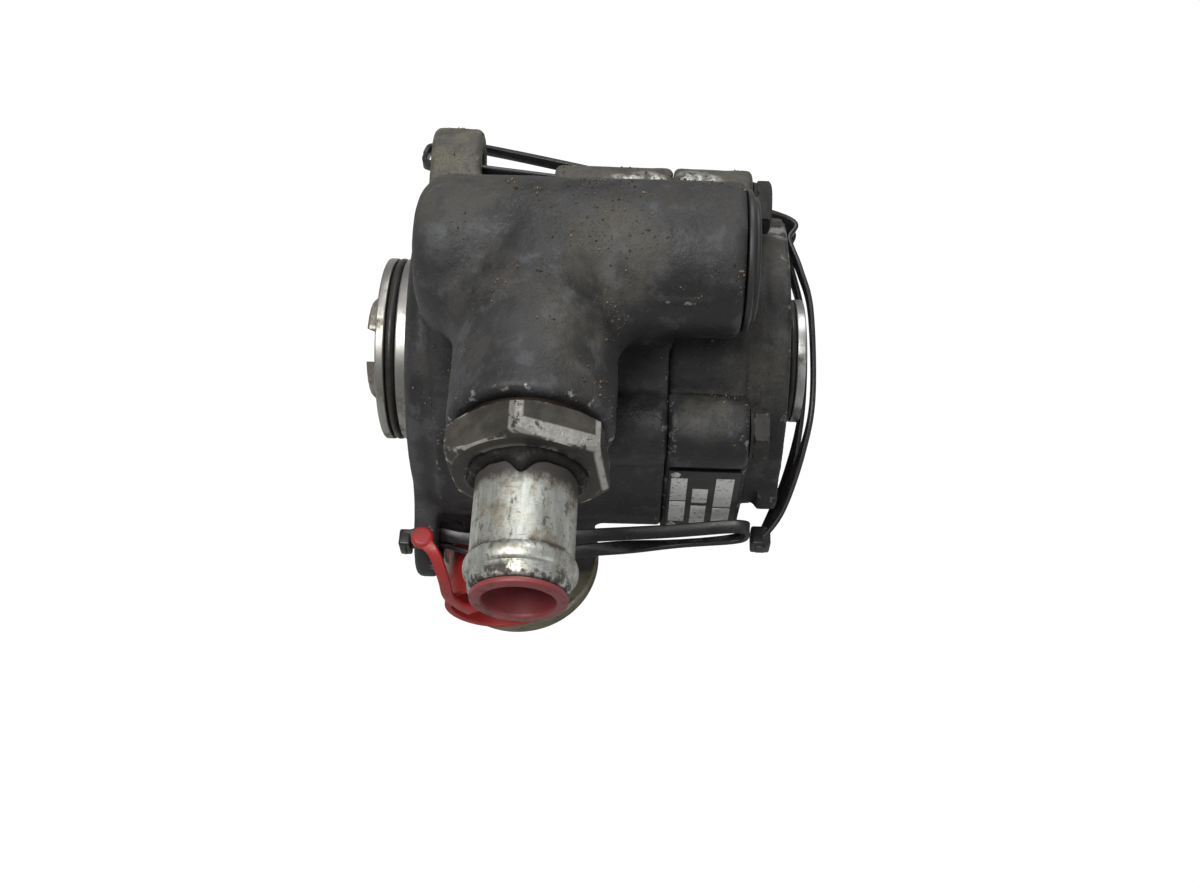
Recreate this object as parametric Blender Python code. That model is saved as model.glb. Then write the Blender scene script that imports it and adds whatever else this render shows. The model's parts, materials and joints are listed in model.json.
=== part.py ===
"""Tandem hydraulic vane pump with a side suction stub, as separate parts.

Working frame, in millimetres: +X runs along the shaft from the drive end to the rear, -Y is the side with
the suction stub, +Z is up, and the shaft axis is Y = 0, Z = 0. The empty pump_frame lifts that frame so
that the underside of the pump is at world Z = 0 and its outline is centred on the world origin.
"""

import math

import bmesh
import bpy
from mathutils import Matrix, Vector
from mathutils.geometry import convex_hull_2d

MM = 0.001
TAU = 2 * math.pi

SHAFT_HEIGHT = 52.3
FRAME_X = 1.5
FRAME_Y = 18.5

FIT = 0.3

FLANGE_FRONT = -43.4
HOUSING_END = 16.0
COVER_START = 16.3
COLUMN_END = 33.8
COVER_BLOCK_END = 35.0
COVER_END = 43.5
BODY_R = 42.0
COVER_R = 37.0
REAR_DISC_R = 35.0
FACET_Y = -38.0

DRIVE_SPIGOT_R = 22.5
DRIVE_SPIGOT_FACE = -52.7
REAR_SPIGOT_R = 15.25
REAR_SPIGOT_FACE = 49.5

EARS = ((42.3, 19.7, -31.0), (-42.3, -19.7, -37.8))
EAR_R = 9.8
EAR_HOLE_R = 4.4
BOLT_CENTRES = ((-36.0, 25.3), (14.1, 41.7), (0.0, -44.0), (42.5, -11.4))
COLUMN_R = 8.3
BOLT_SHANK_R = 2.9
BOLT_HOLE_R = 3.3
BOLT_HEAD_AF = 10.5

VALVE_Y = -11.0
VALVE_Z = 54.2
VALVE_BOSS_R = 16.5
VALVE_BOSS_LEFT = -38.3
VALVE_BOSS_RIGHT = 30.4
VALVE_BORE_R = 8.4
VALVE_BORE_LEFT = -2.5

SUCTION_X = -11.8
SUCTION_Z = 54.2
SUCTION_BOSS_R = 16.9
SUCTION_BOSS_FACE = -55.0
STUB_R = 10.0
STUB_BORE_R = 8.2
STUB_END = -89.7

PORT_X = -24.8
PORT_Z = -33.5
PORT_FACE = -39.0
PORT_BORE_R = 6.0

DISC_X = -20.6
DISC_Y = -32.5
DISC_R = 21.3

CAVITY_R = 33.0
CAVITY_FRONT = -16.0
BEARING_BORE_R = 17.6
DOG_BORE_R = 13.2

CAM_FRONT = -9.4
CAM_BACK = 8.6
CAM_MINOR_R = 21.0
CAM_MAJOR_R = 23.2
ROTOR_R = 20.2
VANES = 10
VANE_TRAVEL = 1.0
VANE_THICK = 1.4
SLOT_WIDTH = 2.0

TIE_WIDTH = 3.2
TIE_THICK = 1.1


def clear_scene():
    for obj in list(bpy.data.objects):
        bpy.data.objects.remove(obj, do_unlink=True)


def principled(name, colour, roughness, metallic):
    material = bpy.data.materials.new(name)
    material.use_nodes = True
    shader = material.node_tree.nodes["Principled BSDF"]
    shader.inputs["Base Color"].default_value = (*colour, 1.0)
    shader.inputs["Roughness"].default_value = roughness
    shader.inputs["Metallic"].default_value = metallic
    material.diffuse_color = (*colour, 1.0)
    return material


def make_object(name, bm, origin):
    """A mesh object from millimetre geometry, with its origin at the given point of the pump frame."""
    bmesh.ops.recalc_face_normals(bm, faces=bm.faces)
    bmesh.ops.translate(bm, vec=-Vector(origin), verts=bm.verts)
    bmesh.ops.scale(bm, vec=(MM, MM, MM), verts=bm.verts)
    mesh = bpy.data.meshes.new(name)
    bm.to_mesh(mesh)
    bm.free()
    mesh.shade_smooth()
    mesh.set_sharp_from_angle(angle=math.radians(35))
    obj = bpy.data.objects.new(name, mesh)
    obj.location = Vector(origin) * MM
    obj.parent = FRAME
    bpy.context.scene.collection.objects.link(obj)
    return obj


def part(name, bm, material, origin=(0, 0, 0)):
    obj = make_object(name, bm, origin)
    obj.data.materials.append(material)
    return obj


def helper(bm, target):
    obj = make_object(f"{target.name}_tool", bm, (0, 0, 0))
    obj.hide_render = True
    obj.display_type = "WIRE"
    return obj


def combine(target, shapes, operation):
    for bm in shapes:
        modifier = target.modifiers.new(operation.title(), "BOOLEAN")
        modifier.operation = operation
        modifier.solver = "EXACT"
        modifier.object = helper(bm, target)


def join(target, *shapes):
    combine(target, shapes, "UNION")


def carve(target, *shapes):
    combine(target, shapes, "DIFFERENCE")


def on_axis(along, a, u, v):
    """The point at a along the named axis, with u and v across it."""
    if along == "X":
        return Vector((a, u, v))
    if along == "Y":
        return Vector((u, a, v))
    return Vector((u, v, a))


def bridge(bm, near, far):
    """Faces between two rings of vertices, either of which may be one vertex on the axis."""
    count = max(len(near), len(far))
    for k in range(count):
        n = (k + 1) % count
        corners = [near[k % len(near)], near[n % len(near)], far[n % len(far)], far[k % len(far)]]
        bm.faces.new(list(dict.fromkeys(corners)))


def loft(rings, looped=False):
    """Faces between rings of points, capped at the ends unless looped."""
    bm = bmesh.new()
    rows = [[bm.verts.new(point) for point in ring] for ring in rings]
    for near, far in zip(rows, rows[1:]):
        bridge(bm, near, far)
    if looped:
        bridge(bm, rows[-1], rows[0])
        return bm
    for row in (rows[0], rows[-1]):
        if len(row) > 2:
            bm.faces.new(row)
    return bm


def ring_points(a, r, centre, along, steps, phase=0.0):
    """Points round the axis at a, or the one point on it where the radius is zero."""
    count = steps if r > 0 else 1
    turns = [phase + TAU * k / count for k in range(count)]
    return [on_axis(along, a, centre[0] + r * math.cos(t), centre[1] + r * math.sin(t)) for t in turns]


def turned(profile, centre=(0, 0), along="X", steps=24, phase=0.0, looped=False):
    """A body of revolution from (axial, radius) pairs about an axis through centre."""
    return loft([ring_points(a, r, centre, along, steps, phase) for a, r in profile], looped)


def cup(profile, centre, along, steps):
    """A turned body whose profile runs outside, over the floor and back inside to its first point."""
    bm = bmesh.new()
    rows = [[bm.verts.new(p) for p in ring_points(a, r, centre, along, steps)] for a, r in profile]
    for near, far in zip(rows, rows[1:]):
        if len(near) + len(far) > 2:
            bridge(bm, near, far)
    bridge(bm, rows[-1], rows[0])
    return bm


def rod(a0, a1, r, centre=(0, 0), along="X", steps=24, chamfer=0.0, phase=0.0):
    low = min(a0, a1)
    high = max(a0, a1)
    profile = [(low, r - chamfer), (low + chamfer, r), (high - chamfer, r), (high, r - chamfer)]
    if chamfer == 0.0:
        profile = [(low, r), (high, r)]
    return turned(profile, centre, along, steps, phase)


def tube(a0, a1, outer, inner, centre=(0, 0), along="X", steps=24):
    return turned([(a0, outer), (a1, outer), (a1, inner), (a0, inner)], centre, along, steps, looped=True)


def ring_seal(a, mean_r, section_r, centre=(0, 0), along="X", steps=28, sides=6):
    turns = [TAU * k / sides for k in range(sides)]
    profile = [(a + section_r * math.cos(t), mean_r + section_r * math.sin(t)) for t in turns]
    return turned(profile, centre, along, steps, looped=True)


def block(low, high):
    x0, y0, z0 = low
    x1, y1, z1 = high
    rings = []
    for x in (x0, x1):
        rings.append([Vector((x, y0, z0)), Vector((x, y1, z0)), Vector((x, y1, z1)), Vector((x, y0, z1))])
    return loft(rings)


def slab(outline, a0, a1, along="X"):
    """A flat plate with the given outline in the plane across the axis."""
    return loft([[on_axis(along, a, u, v) for u, v in outline] for a in (a0, a1)])


def circle(u, v, r, steps=24):
    return [(u + r * math.cos(TAU * k / steps), v + r * math.sin(TAU * k / steps)) for k in range(steps)]


def hull(points):
    return [points[k] for k in convex_hull_2d([Vector(p) for p in points])]


def hexagon(a0, a1, flats, centre, along, phase=0.0, chamfer=0.0):
    r = flats / math.sqrt(3)
    return rod(a0, a1, r, centre, along, 6, chamfer, phase)


def coil(a0, a1, mean_r, wire_r, turns, centre, steps=12, sides=5):
    """A helical spring along X with plainly cut ends."""
    count = round(turns * steps)
    rings = []
    for k in range(count + 1):
        t = TAU * k / steps
        out = Vector((0, math.cos(t), math.sin(t)))
        middle = Vector((a0 + (a1 - a0) * k / count, centre[0], centre[1])) + out * mean_r
        around = [TAU * s / sides for s in range(sides)]
        wire = [out * math.cos(s) + Vector((math.sin(s), 0, 0)) for s in around]
        rings.append([middle + wire_r * point for point in wire])
    return loft(rings)


def catmull(p0, p1, p2, p3, t):
    return 0.5 * (
        2 * p1 + (p2 - p0) * t + (2 * p0 - 5 * p1 + 4 * p2 - p3) * t**2 + (3 * p1 - p0 - 3 * p2 + p3) * t**3
    )


def smooth(points, per_span):
    """Points along a curve through the given ones, whose ends carry straight on."""
    ends = [2 * points[0] - points[1], *points, 2 * points[-1] - points[-2]]
    found = []
    for k in range(len(points) - 1):
        found += [catmull(*ends[k : k + 4], s / per_span) for s in range(per_span)]
    return [*found, points[-1]]


def strap_open(points, sides, width, thick, per_span=4):
    """A flat strap through the points, whose width lies along the matching side direction."""
    path = smooth([Vector(p) for p in points], per_span)
    across = smooth([Vector(side).normalized() for side in sides], per_span)
    rings = []
    for k, middle in enumerate(path):
        ahead = (path[min(k + 1, len(path) - 1)] - path[max(k - 1, 0)]).normalized()
        side = (across[k] - ahead * across[k].dot(ahead)).normalized()
        normal = ahead.cross(side)
        corners = ((1, 1), (-1, 1), (-1, -1), (1, -1))
        rings.append([middle + side * width / 2 * s + normal * thick / 2 * n for s, n in corners])
    return loft(rings)


def pump_housing(material):
    body = [
        (FLANGE_FRONT, 36.6),
        (FLANGE_FRONT + 0.8, 38.8),
        (FLANGE_FRONT + 3.0, 40.2),
        (-31.0, 40.6),
        (-28.0, BODY_R),
        (HOUSING_END - 1.6, BODY_R),
        (HOUSING_END, BODY_R - 1.6),
    ]
    flange = part("pump_housing", turned(body, steps=40), material)
    for y, z, back in EARS:
        outline = hull(circle(y, z, EAR_R, 20) + circle(0.45 * y, 0.45 * z, 15.0, 20))
        join(flange, slab(outline, FLANGE_FRONT, back))
    for y, z in BOLT_CENTRES:
        join(flange, rod(-11.0, HOUSING_END, COLUMN_R, (y, z), steps=18, chamfer=1.4))
    join(flange, block((-40.0, FACET_Y - 1.0, -46.3), (-0.5, 0.0, -14.0)))
    boss = [
        (VALVE_BOSS_LEFT, 8.5),
        (VALVE_BOSS_LEFT + 0.9, 12.2),
        (VALVE_BOSS_LEFT + 3.4, 15.2),
        (VALVE_BOSS_LEFT + 7.0, VALVE_BOSS_R),
        (VALVE_BOSS_RIGHT - 1.2, VALVE_BOSS_R),
        (VALVE_BOSS_RIGHT, VALVE_BOSS_R - 1.2),
    ]
    join(flange, turned(boss, (VALVE_Y, VALVE_Z), steps=28))
    join(flange, block((-35.0, VALVE_Y - 14.5, 20.0), (HOUSING_END - 1.0, VALVE_Y + 14.5, VALVE_Z - 4.0)))
    join(flange, rod(SUCTION_BOSS_FACE, VALVE_Y, SUCTION_BOSS_R, (SUCTION_X, SUCTION_Z), "Y", 28, 1.2))
    join(flange, block((SUCTION_X - 13.0, -36.0, 16.0), (SUCTION_X + 13.0, VALVE_Y, SUCTION_Z - 5.0)))
    spigot = [
        (FLANGE_FRONT + 1.0, DRIVE_SPIGOT_R),
        (-48.0, DRIVE_SPIGOT_R),
        (-48.0, 20.3),
        (-50.5, 20.3),
        (-50.5, DRIVE_SPIGOT_R),
        (DRIVE_SPIGOT_FACE + 0.5, DRIVE_SPIGOT_R),
        (DRIVE_SPIGOT_FACE, DRIVE_SPIGOT_R - 0.5),
    ]
    join(flange, turned(spigot, steps=36))
    carve(flange, block((-26.0, -70.0, -14.0), (HOUSING_END + 5.0, FACET_Y - 2.0, 22.0)))
    carve(flange, rod(CAVITY_FRONT, HOUSING_END + 5.0, CAVITY_R, steps=36))
    carve(flange, rod(-43.0, CAVITY_FRONT + 1.0, BEARING_BORE_R, steps=28))
    carve(flange, rod(-60.0, -40.0, DOG_BORE_R, steps=28))
    carve(flange, rod(-22.6, -20.9, 19.2, steps=24))
    carve(flange, tube(HOUSING_END - 2.3, HOUSING_END + 3.0, 37.5, 34.6, steps=36))
    for y, z, back in EARS:
        carve(flange, rod(FLANGE_FRONT - 5.0, back + 5.0, EAR_HOLE_R, (y, z), steps=14))
    for y, z in BOLT_CENTRES:
        carve(flange, rod(-6.0, HOUSING_END + 5.0, BOLT_HOLE_R, (y, z), steps=12))
    carve(flange, rod(VALVE_BORE_LEFT, VALVE_BOSS_RIGHT + 5.0, VALVE_BORE_R, (VALVE_Y, VALVE_Z), steps=20))
    carve(flange, rod(24.6, VALVE_BOSS_RIGHT + 5.0, 11.2, (VALVE_Y, VALVE_Z), steps=20))
    carve(flange, rod(-70.0, -8.0, STUB_BORE_R, (SUCTION_X, SUCTION_Z), "Y", 20))
    carve(flange, rod(-70.0, -40.0, 10.8, (SUCTION_X, SUCTION_Z), "Y", 20))
    carve(flange, rod(26.0, SUCTION_Z, 5.0, (SUCTION_X + 2.0, VALVE_Y), "Z", 14))
    carve(flange, rod(PORT_FACE - 5.0, -12.0, PORT_BORE_R, (PORT_X, PORT_Z), "Y", 18))
    carve(flange, rod(PORT_X, CAVITY_FRONT + 1.0, 3.6, (-14.0, -27.0), steps=12))
    carve(flange, rod(-50.0, -42.0, 2.4, (DISC_X, DISC_Y), "Z", 12))
    return flange


def end_cover(material):
    shell = [
        (COVER_START, COVER_R - 1.6),
        (COVER_START + 1.6, COVER_R),
        (33.4, COVER_R),
        (34.2, 36.0),
        (38.2, 36.0),
        (38.8, REAR_DISC_R),
        (COVER_END - 0.8, REAR_DISC_R),
        (COVER_END, REAR_DISC_R - 0.8),
    ]
    cover = part("end_cover", turned(shell, steps=40), material)
    join(cover, block((COVER_START + 0.4, FACET_Y, -20.0), (COVER_BLOCK_END, -5.0, 17.0)))
    for y, z in BOLT_CENTRES:
        join(cover, rod(COVER_START, COLUMN_END, COLUMN_R, (y, z), steps=18, chamfer=1.2))
    for turn in (10, 190):
        y = 33.0 * math.cos(math.radians(turn))
        z = 33.0 * math.sin(math.radians(turn))
        join(cover, rod(38.6, COVER_END, 5.8, (y, z), steps=14, chamfer=0.6))
        carve(cover, rod(33.0, COVER_END + 4.0, 2.6, (y, z), steps=12))
    spigot = [
        (COVER_END - 2.0, REAR_SPIGOT_R),
        (45.4, REAR_SPIGOT_R),
        (45.4, 13.6),
        (47.3, 13.6),
        (47.3, REAR_SPIGOT_R),
        (REAR_SPIGOT_FACE - 0.4, REAR_SPIGOT_R),
        (REAR_SPIGOT_FACE, REAR_SPIGOT_R - 0.4),
    ]
    join(cover, turned(spigot, steps=28))
    for y, z in BOLT_CENTRES:
        carve(cover, rod(COVER_START - 5.0, COLUMN_END + 2.0, BOLT_HOLE_R, (y, z), steps=12))
    carve(cover, rod(COVER_START - 5.0, 33.0, 9.6, steps=20))
    carve(cover, rod(32.0, REAR_SPIGOT_FACE + 5.0, 9.0, steps=20))
    return cover


def seals(material):
    part("drive_spigot_o_ring", ring_seal(-49.25, 21.45, 1.05), material)
    part("rear_spigot_o_ring", ring_seal(46.35, 14.6, 0.85), material)
    part("cover_o_ring", ring_seal(HOUSING_END - 1.05, 36.05, 1.05), material)
    part("valve_cap_o_ring", ring_seal(28.0, 10.1, 0.8, (VALVE_Y, VALVE_Z), steps=18, sides=6), material)
    lip = [(-42.7, 17.2), (-36.7, 17.2), (-36.7, 15.6), (-41.2, 15.6), (-41.2, 11.4)]
    lip += [(-38.6, 9.8), (-39.6, 9.8), (-42.7, 10.9)]
    part("shaft_seal", turned(lip, steps=26, looped=True), material)


def cover_bolts(material):
    for number, (y, z) in enumerate(BOLT_CENTRES, 1):
        head = hexagon(COLUMN_END + FIT, COLUMN_END + 4.6, BOLT_HEAD_AF, (y, z), "X", 0.3 * number)
        bolt = part(f"cover_bolt_{number}", head, material)
        join(bolt, rod(-4.0, 35.0, BOLT_SHANK_R, (y, z), steps=12, chamfer=0.8))


def drive_line(steel, dark_steel, bronze):
    shaft = [
        (-47.0, 5.4),
        (-46.4, 6.0),
        (-44.0, 6.0),
        (-44.0, 9.4),
        (-34.3, 9.4),
        (-34.3, 7.2),
        (35.4, 7.2),
        (36.0, 6.6),
    ]
    part("shaft", turned(shaft, steps=24), steel)
    dog = part("drive_dog", rod(-56.5, -44.3, 12.5, steps=26, chamfer=0.6), steel)
    slot = block((-60.0, -4.0, -20.0), (-53.0, 4.0, 20.0))
    bmesh.ops.rotate(slot, cent=(0, 0, 0), matrix=Matrix.Rotation(math.radians(30), 3, "X"), verts=slot.verts)
    carve(dog, slot, rod(-48.5, -40.0, 6.3, steps=18))
    rear = part("rear_dog", rod(36.3, 50.2, 8.4, steps=20, chamfer=0.5), dark_steel)
    carve(rear, block((46.0, -2.6, -20.0), (55.0, 2.6, 20.0)))
    part("bearing_outer_race", race(17.3, 14.4, 11.9, 3.0), steel)
    part("bearing_inner_race", race(7.5, 10.0, 11.9, 3.0), steel)
    cage = part("bearing_ball_cage", tube(-30.3, -26.7, 12.5, 11.3, steps=28), bronze)
    for k in range(7):
        t = TAU * k / 7
        y = 11.9 * math.cos(t)
        z = 11.9 * math.sin(t)
        arc = [(-28.5 - 2.6 * math.cos(math.pi * j / 4), 2.6 * math.sin(math.pi * j / 4)) for j in range(5)]
        arc[0] = (arc[0][0], 0)
        arc[-1] = (arc[-1][0], 0)
        join(cage, turned(arc, (y, z), steps=8, phase=0.1))
    circlip = part("bearing_circlip", tube(-22.4, -21.2, 18.9, 15.8, steps=24), dark_steel)
    carve(circlip, block((-25.0, 0.0, -2.0), (-19.0, 25.0, 2.0)))
    part("rear_bush", tube(17.5, 31.7, 9.3, 7.5, steps=20), bronze)
    clip = part("rotor_circlip", tube(9.2, 10.2, 10.2, 7.5, steps=18), dark_steel)
    carve(clip, block((5.0, 0.0, -1.5), (15.0, 15.0, 1.5)))


def race(wall_r, land_r, pitch_r, groove):
    """A bearing race between X -34 and -23 whose ball groove follows the pitch circle."""
    middle = -28.5
    steps = [-60, -30, 0, 30, 60]
    sign = 1 if wall_r > pitch_r else -1
    curve = []
    for degrees in steps:
        r = pitch_r + sign * groove * math.cos(math.radians(degrees))
        r = max(r, land_r) if sign > 0 else min(r, land_r)
        curve.append((middle + groove * math.sin(math.radians(degrees)), r))
    profile = [(-33.9, wall_r), (-33.9, land_r), *curve, (-23.1, land_r), (-23.1, wall_r)]
    return turned(profile, steps=24, looped=True)


def cam_radius(t):
    """Two lobes: the major radius lies across the shaft at 45 degrees to the ports."""
    blend = (1 - math.cos(2 * t)) / 2
    return CAM_MINOR_R + (CAM_MAJOR_R - CAM_MINOR_R) * blend


def pumping_group(steel, cast, dark_steel):
    front = part("front_plate", rod(-15.7, -9.7, CAVITY_R - 0.4, steps=28), cast)
    rear = part("rear_plate", rod(10.9, HOUSING_END - 0.1, CAVITY_R - 0.4, steps=28), cast)
    carve(front, rod(-20.0, -5.0, 8.0, steps=18))
    carve(rear, rod(8.0, 20.0, 8.0, steps=18))
    for plate, low, high in ((front, -20.0, -5.0), (rear, 8.0, 20.0)):
        for turn in (60, 120, 240, 300):
            y = 21.6 * math.cos(math.radians(turn))
            z = 21.6 * math.sin(math.radians(turn))
            carve(plate, rod(low, high, 2.2, (y, z), steps=10))
        for sign in (1, -1):
            carve(plate, rod(low, high, 2.3, (28.0 * sign, 0.0), steps=10))
    cam = part("cam_ring", rod(CAM_FRONT, CAM_BACK, CAVITY_R - 0.5, steps=28), steel)
    turns = [TAU * k / 48 for k in range(48)]
    bore = [(cam_radius(t) * math.cos(t), cam_radius(t) * math.sin(t)) for t in turns]
    carve(cam, slab(bore, CAM_FRONT - 2.0, CAM_BACK + 2.0))
    for sign in (1, -1):
        carve(cam, rod(CAM_FRONT - 2.0, CAM_BACK + 2.0, 2.3, (28.0 * sign, 0.0), steps=10))
        part(f"dowel_pin_{1 if sign > 0 else 2}", rod(-13.0, 13.0, 1.9, (28.0 * sign, 0.0), steps=10), steel)
    rotor = part("rotor", rod(CAM_FRONT + 0.3, CAM_BACK - 0.3, ROTOR_R, steps=50), steel)
    carve(rotor, rod(CAM_FRONT - 2.0, CAM_BACK + 2.0, 7.5, steps=18))
    for k in range(VANES):
        turn = Matrix.Rotation(math.radians(360.0 * k / VANES + 18.0), 3, "X")
        slot = block((CAM_FRONT - 2.0, 11.2, -SLOT_WIDTH / 2), (CAM_BACK + 2.0, 25.0, SLOT_WIDTH / 2))
        bmesh.ops.rotate(slot, cent=(0, 0, 0), matrix=turn, verts=slot.verts)
        carve(rotor, slot)
        half = VANE_THICK / 2
        reach = CAM_MINOR_R - VANE_TRAVEL - 0.45
        vane = block((CAM_FRONT + 0.4, 12.0, -half), (CAM_BACK - 0.4, reach, half))
        bmesh.ops.rotate(vane, cent=(0, 0, 0), matrix=turn, verts=vane.verts)
        part(f"vane_{k + 1:02d}", vane, dark_steel)


def flow_valve(steel, cast, spring_steel):
    centre = (VALVE_Y, VALVE_Z)
    spool_profile = [
        (8.0, 7.2),
        (8.6, 8.0),
        (12.0, 8.0),
        (12.0, 6.6),
        (17.0, 6.6),
        (17.0, 8.0),
        (21.4, 8.0),
        (22.0, 7.4),
    ]
    spool = part("valve_spool", turned(spool_profile, centre, steps=20), steel)
    carve(spool, rod(11.0, 25.0, 4.2, centre, steps=14), rod(5.0, 12.0, 1.1, centre, steps=10))
    part("valve_spring", coil(-1.7, 7.1, 5.6, 0.55, 5, centre), spring_steel)
    cap_profile = [
        (24.9, 9.6),
        (26.8, 9.6),
        (26.8, 8.9),
        (29.2, 8.9),
        (29.2, 10.9),
        (VALVE_BOSS_RIGHT + 0.3, 10.9),
        (VALVE_BOSS_RIGHT + 0.3, 15.0),
        (31.9, 15.0),
        (32.3, 13.4),
        (33.0, 13.4),
        (33.4, 13.0),
    ]
    cap = part("valve_cap", turned(cap_profile, centre, steps=26), cast)
    carve(cap, hexagon(30.4, 40.0, 10.0, centre, "X"))
    part("relief_poppet", turned([(11.4, 0), (13.2, 2.4), (15.4, 2.4), (15.4, 0)], centre, steps=12), steel)
    part("relief_spring", coil(15.9, 18.9, 2.6, 0.3, 3, centre, 10, 5), spring_steel)
    part("relief_seat_screw", tube(19.4, 21.7, 3.9, 1.5, centre, steps=14), steel)


def suction_line(dark_paint, zinc, copper, red):
    centre = (SUCTION_X, SUCTION_Z)
    part("adapter_seal_ring", tube(-56.2, SUCTION_BOSS_FACE - 0.3, 14.3, 11.2, centre, "Y", 26), copper)
    nut = hexagon(-64.6, -56.5, 30.0, centre, "Y", math.radians(-24), 0.9)
    adapter = part("suction_adapter", nut, dark_paint)
    join(adapter, rod(-57.0, -43.0, 10.4, centre, "Y", 20, 0.6))
    carve(adapter, rod(-70.0, -30.0, 7.6, centre, "Y", 20), rod(-70.0, -60.0, 10.3, centre, "Y", 20))
    outer = [
        (-60.3, STUB_R),
        (-83.4, STUB_R),
        (-84.3, 10.9),
        (-86.0, 10.9),
        (-87.2, STUB_R),
        (STUB_END, 9.6),
    ]
    inner = [(STUB_END, STUB_BORE_R), (-60.3, STUB_BORE_R)]
    part("suction_stub", turned(outer + inner, centre, "Y", 28, looped=True), zinc)
    plug_origin = (SUCTION_X, -90.0, SUCTION_Z)
    plug_profile = [
        (-91.2, 8.9),
        (-90.6, 9.3),
        (-90.0, 9.3),
        (-90.0, 7.8),
        (-76.5, 7.5),
        (-75.5, 6.5),
        (-75.5, 0),
        (-76.7, 0),
        (-76.7, 6.6),
        (-91.2, 6.9),
    ]
    part("suction_transport_plug", cup(plug_profile, centre, "Y", 26), red, plug_origin)


def port_cap(red):
    origin = (PORT_X, -41.0, PORT_Z)
    centre = (PORT_X, PORT_Z)
    cap = part("pressure_port_cap", rod(-41.0, PORT_FACE - FIT, 13.0, centre, "Y", 26, 0.3), red, origin)
    join(cap, rod(-55.0, -40.0, 12.5, centre, "Y", 26, 0.8))
    join(cap, rod(-40.0, -28.0, 5.7, centre, "Y", 14, 0.5))
    carve(cap, rod(-60.0, -43.0, 10.7, centre, "Y", 20))
    route = [
        (-40.6, -49.0, -7.7),
        (-37.7, -52.0, -7.8),
        (-36.2, -54.6, -10.6),
        (-35.4, -56.2, -15.6),
        (-35.1, -56.6, -22.8),
        (-32.9, -56.4, -28.7),
        (-29.8, -56.4, -32.1),
    ]
    tether = part("cap_tether", strap_open(route, [(1, 0, 0.2)] * len(route), 2.8, 1.2), red, origin)
    join(tether, rod(-9.0, -6.4, 2.7, (-40.6, -48.5), "Z", 14, 0.5))


def lower_fittings(olive, steel):
    centre = (DISC_X, DISC_Y)
    disc = part("port_block_disc", rod(-SHAFT_HEIGHT, -46.6, DISC_R, centre, "Z", 36, 0.6), olive)
    carve(disc, rod(-60.0, -40.0, 3.3, centre, "Z", 12))
    carve(disc, rod(-60.0, -49.4, 5.6, centre, "Z", 14))
    screw = part("disc_screw", rod(-52.0, -49.7, 5.2, centre, "Z", 14, 0.4), steel)
    join(screw, rod(-50.0, -44.0, 2.1, centre, "Z", 10))
    carve(screw, hexagon(-55.0, -50.6, 4.0, centre, "Z"))


def nameplate(black, silver):
    outline = [(17.2, -16.4), (33.8, -16.4), (33.8, 11.6), (17.2, 11.6)]
    plate = part("nameplate", slab(outline, -38.9, FACET_Y - FIT, "Y"), black)
    for number, z in enumerate((-14.9, 10.1), 1):
        carve(plate, rod(-40.0, -37.0, 0.8, (18.7, z), "Y", 10))
        rivet = part(f"nameplate_rivet_{number}", rod(-39.5, -39.1, 1.2, (18.7, z), "Y", 10, 0.15), silver)
        join(rivet, rod(-39.2, FACET_Y - 0.2, 0.5, (18.7, z), "Y", 10))


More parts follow.
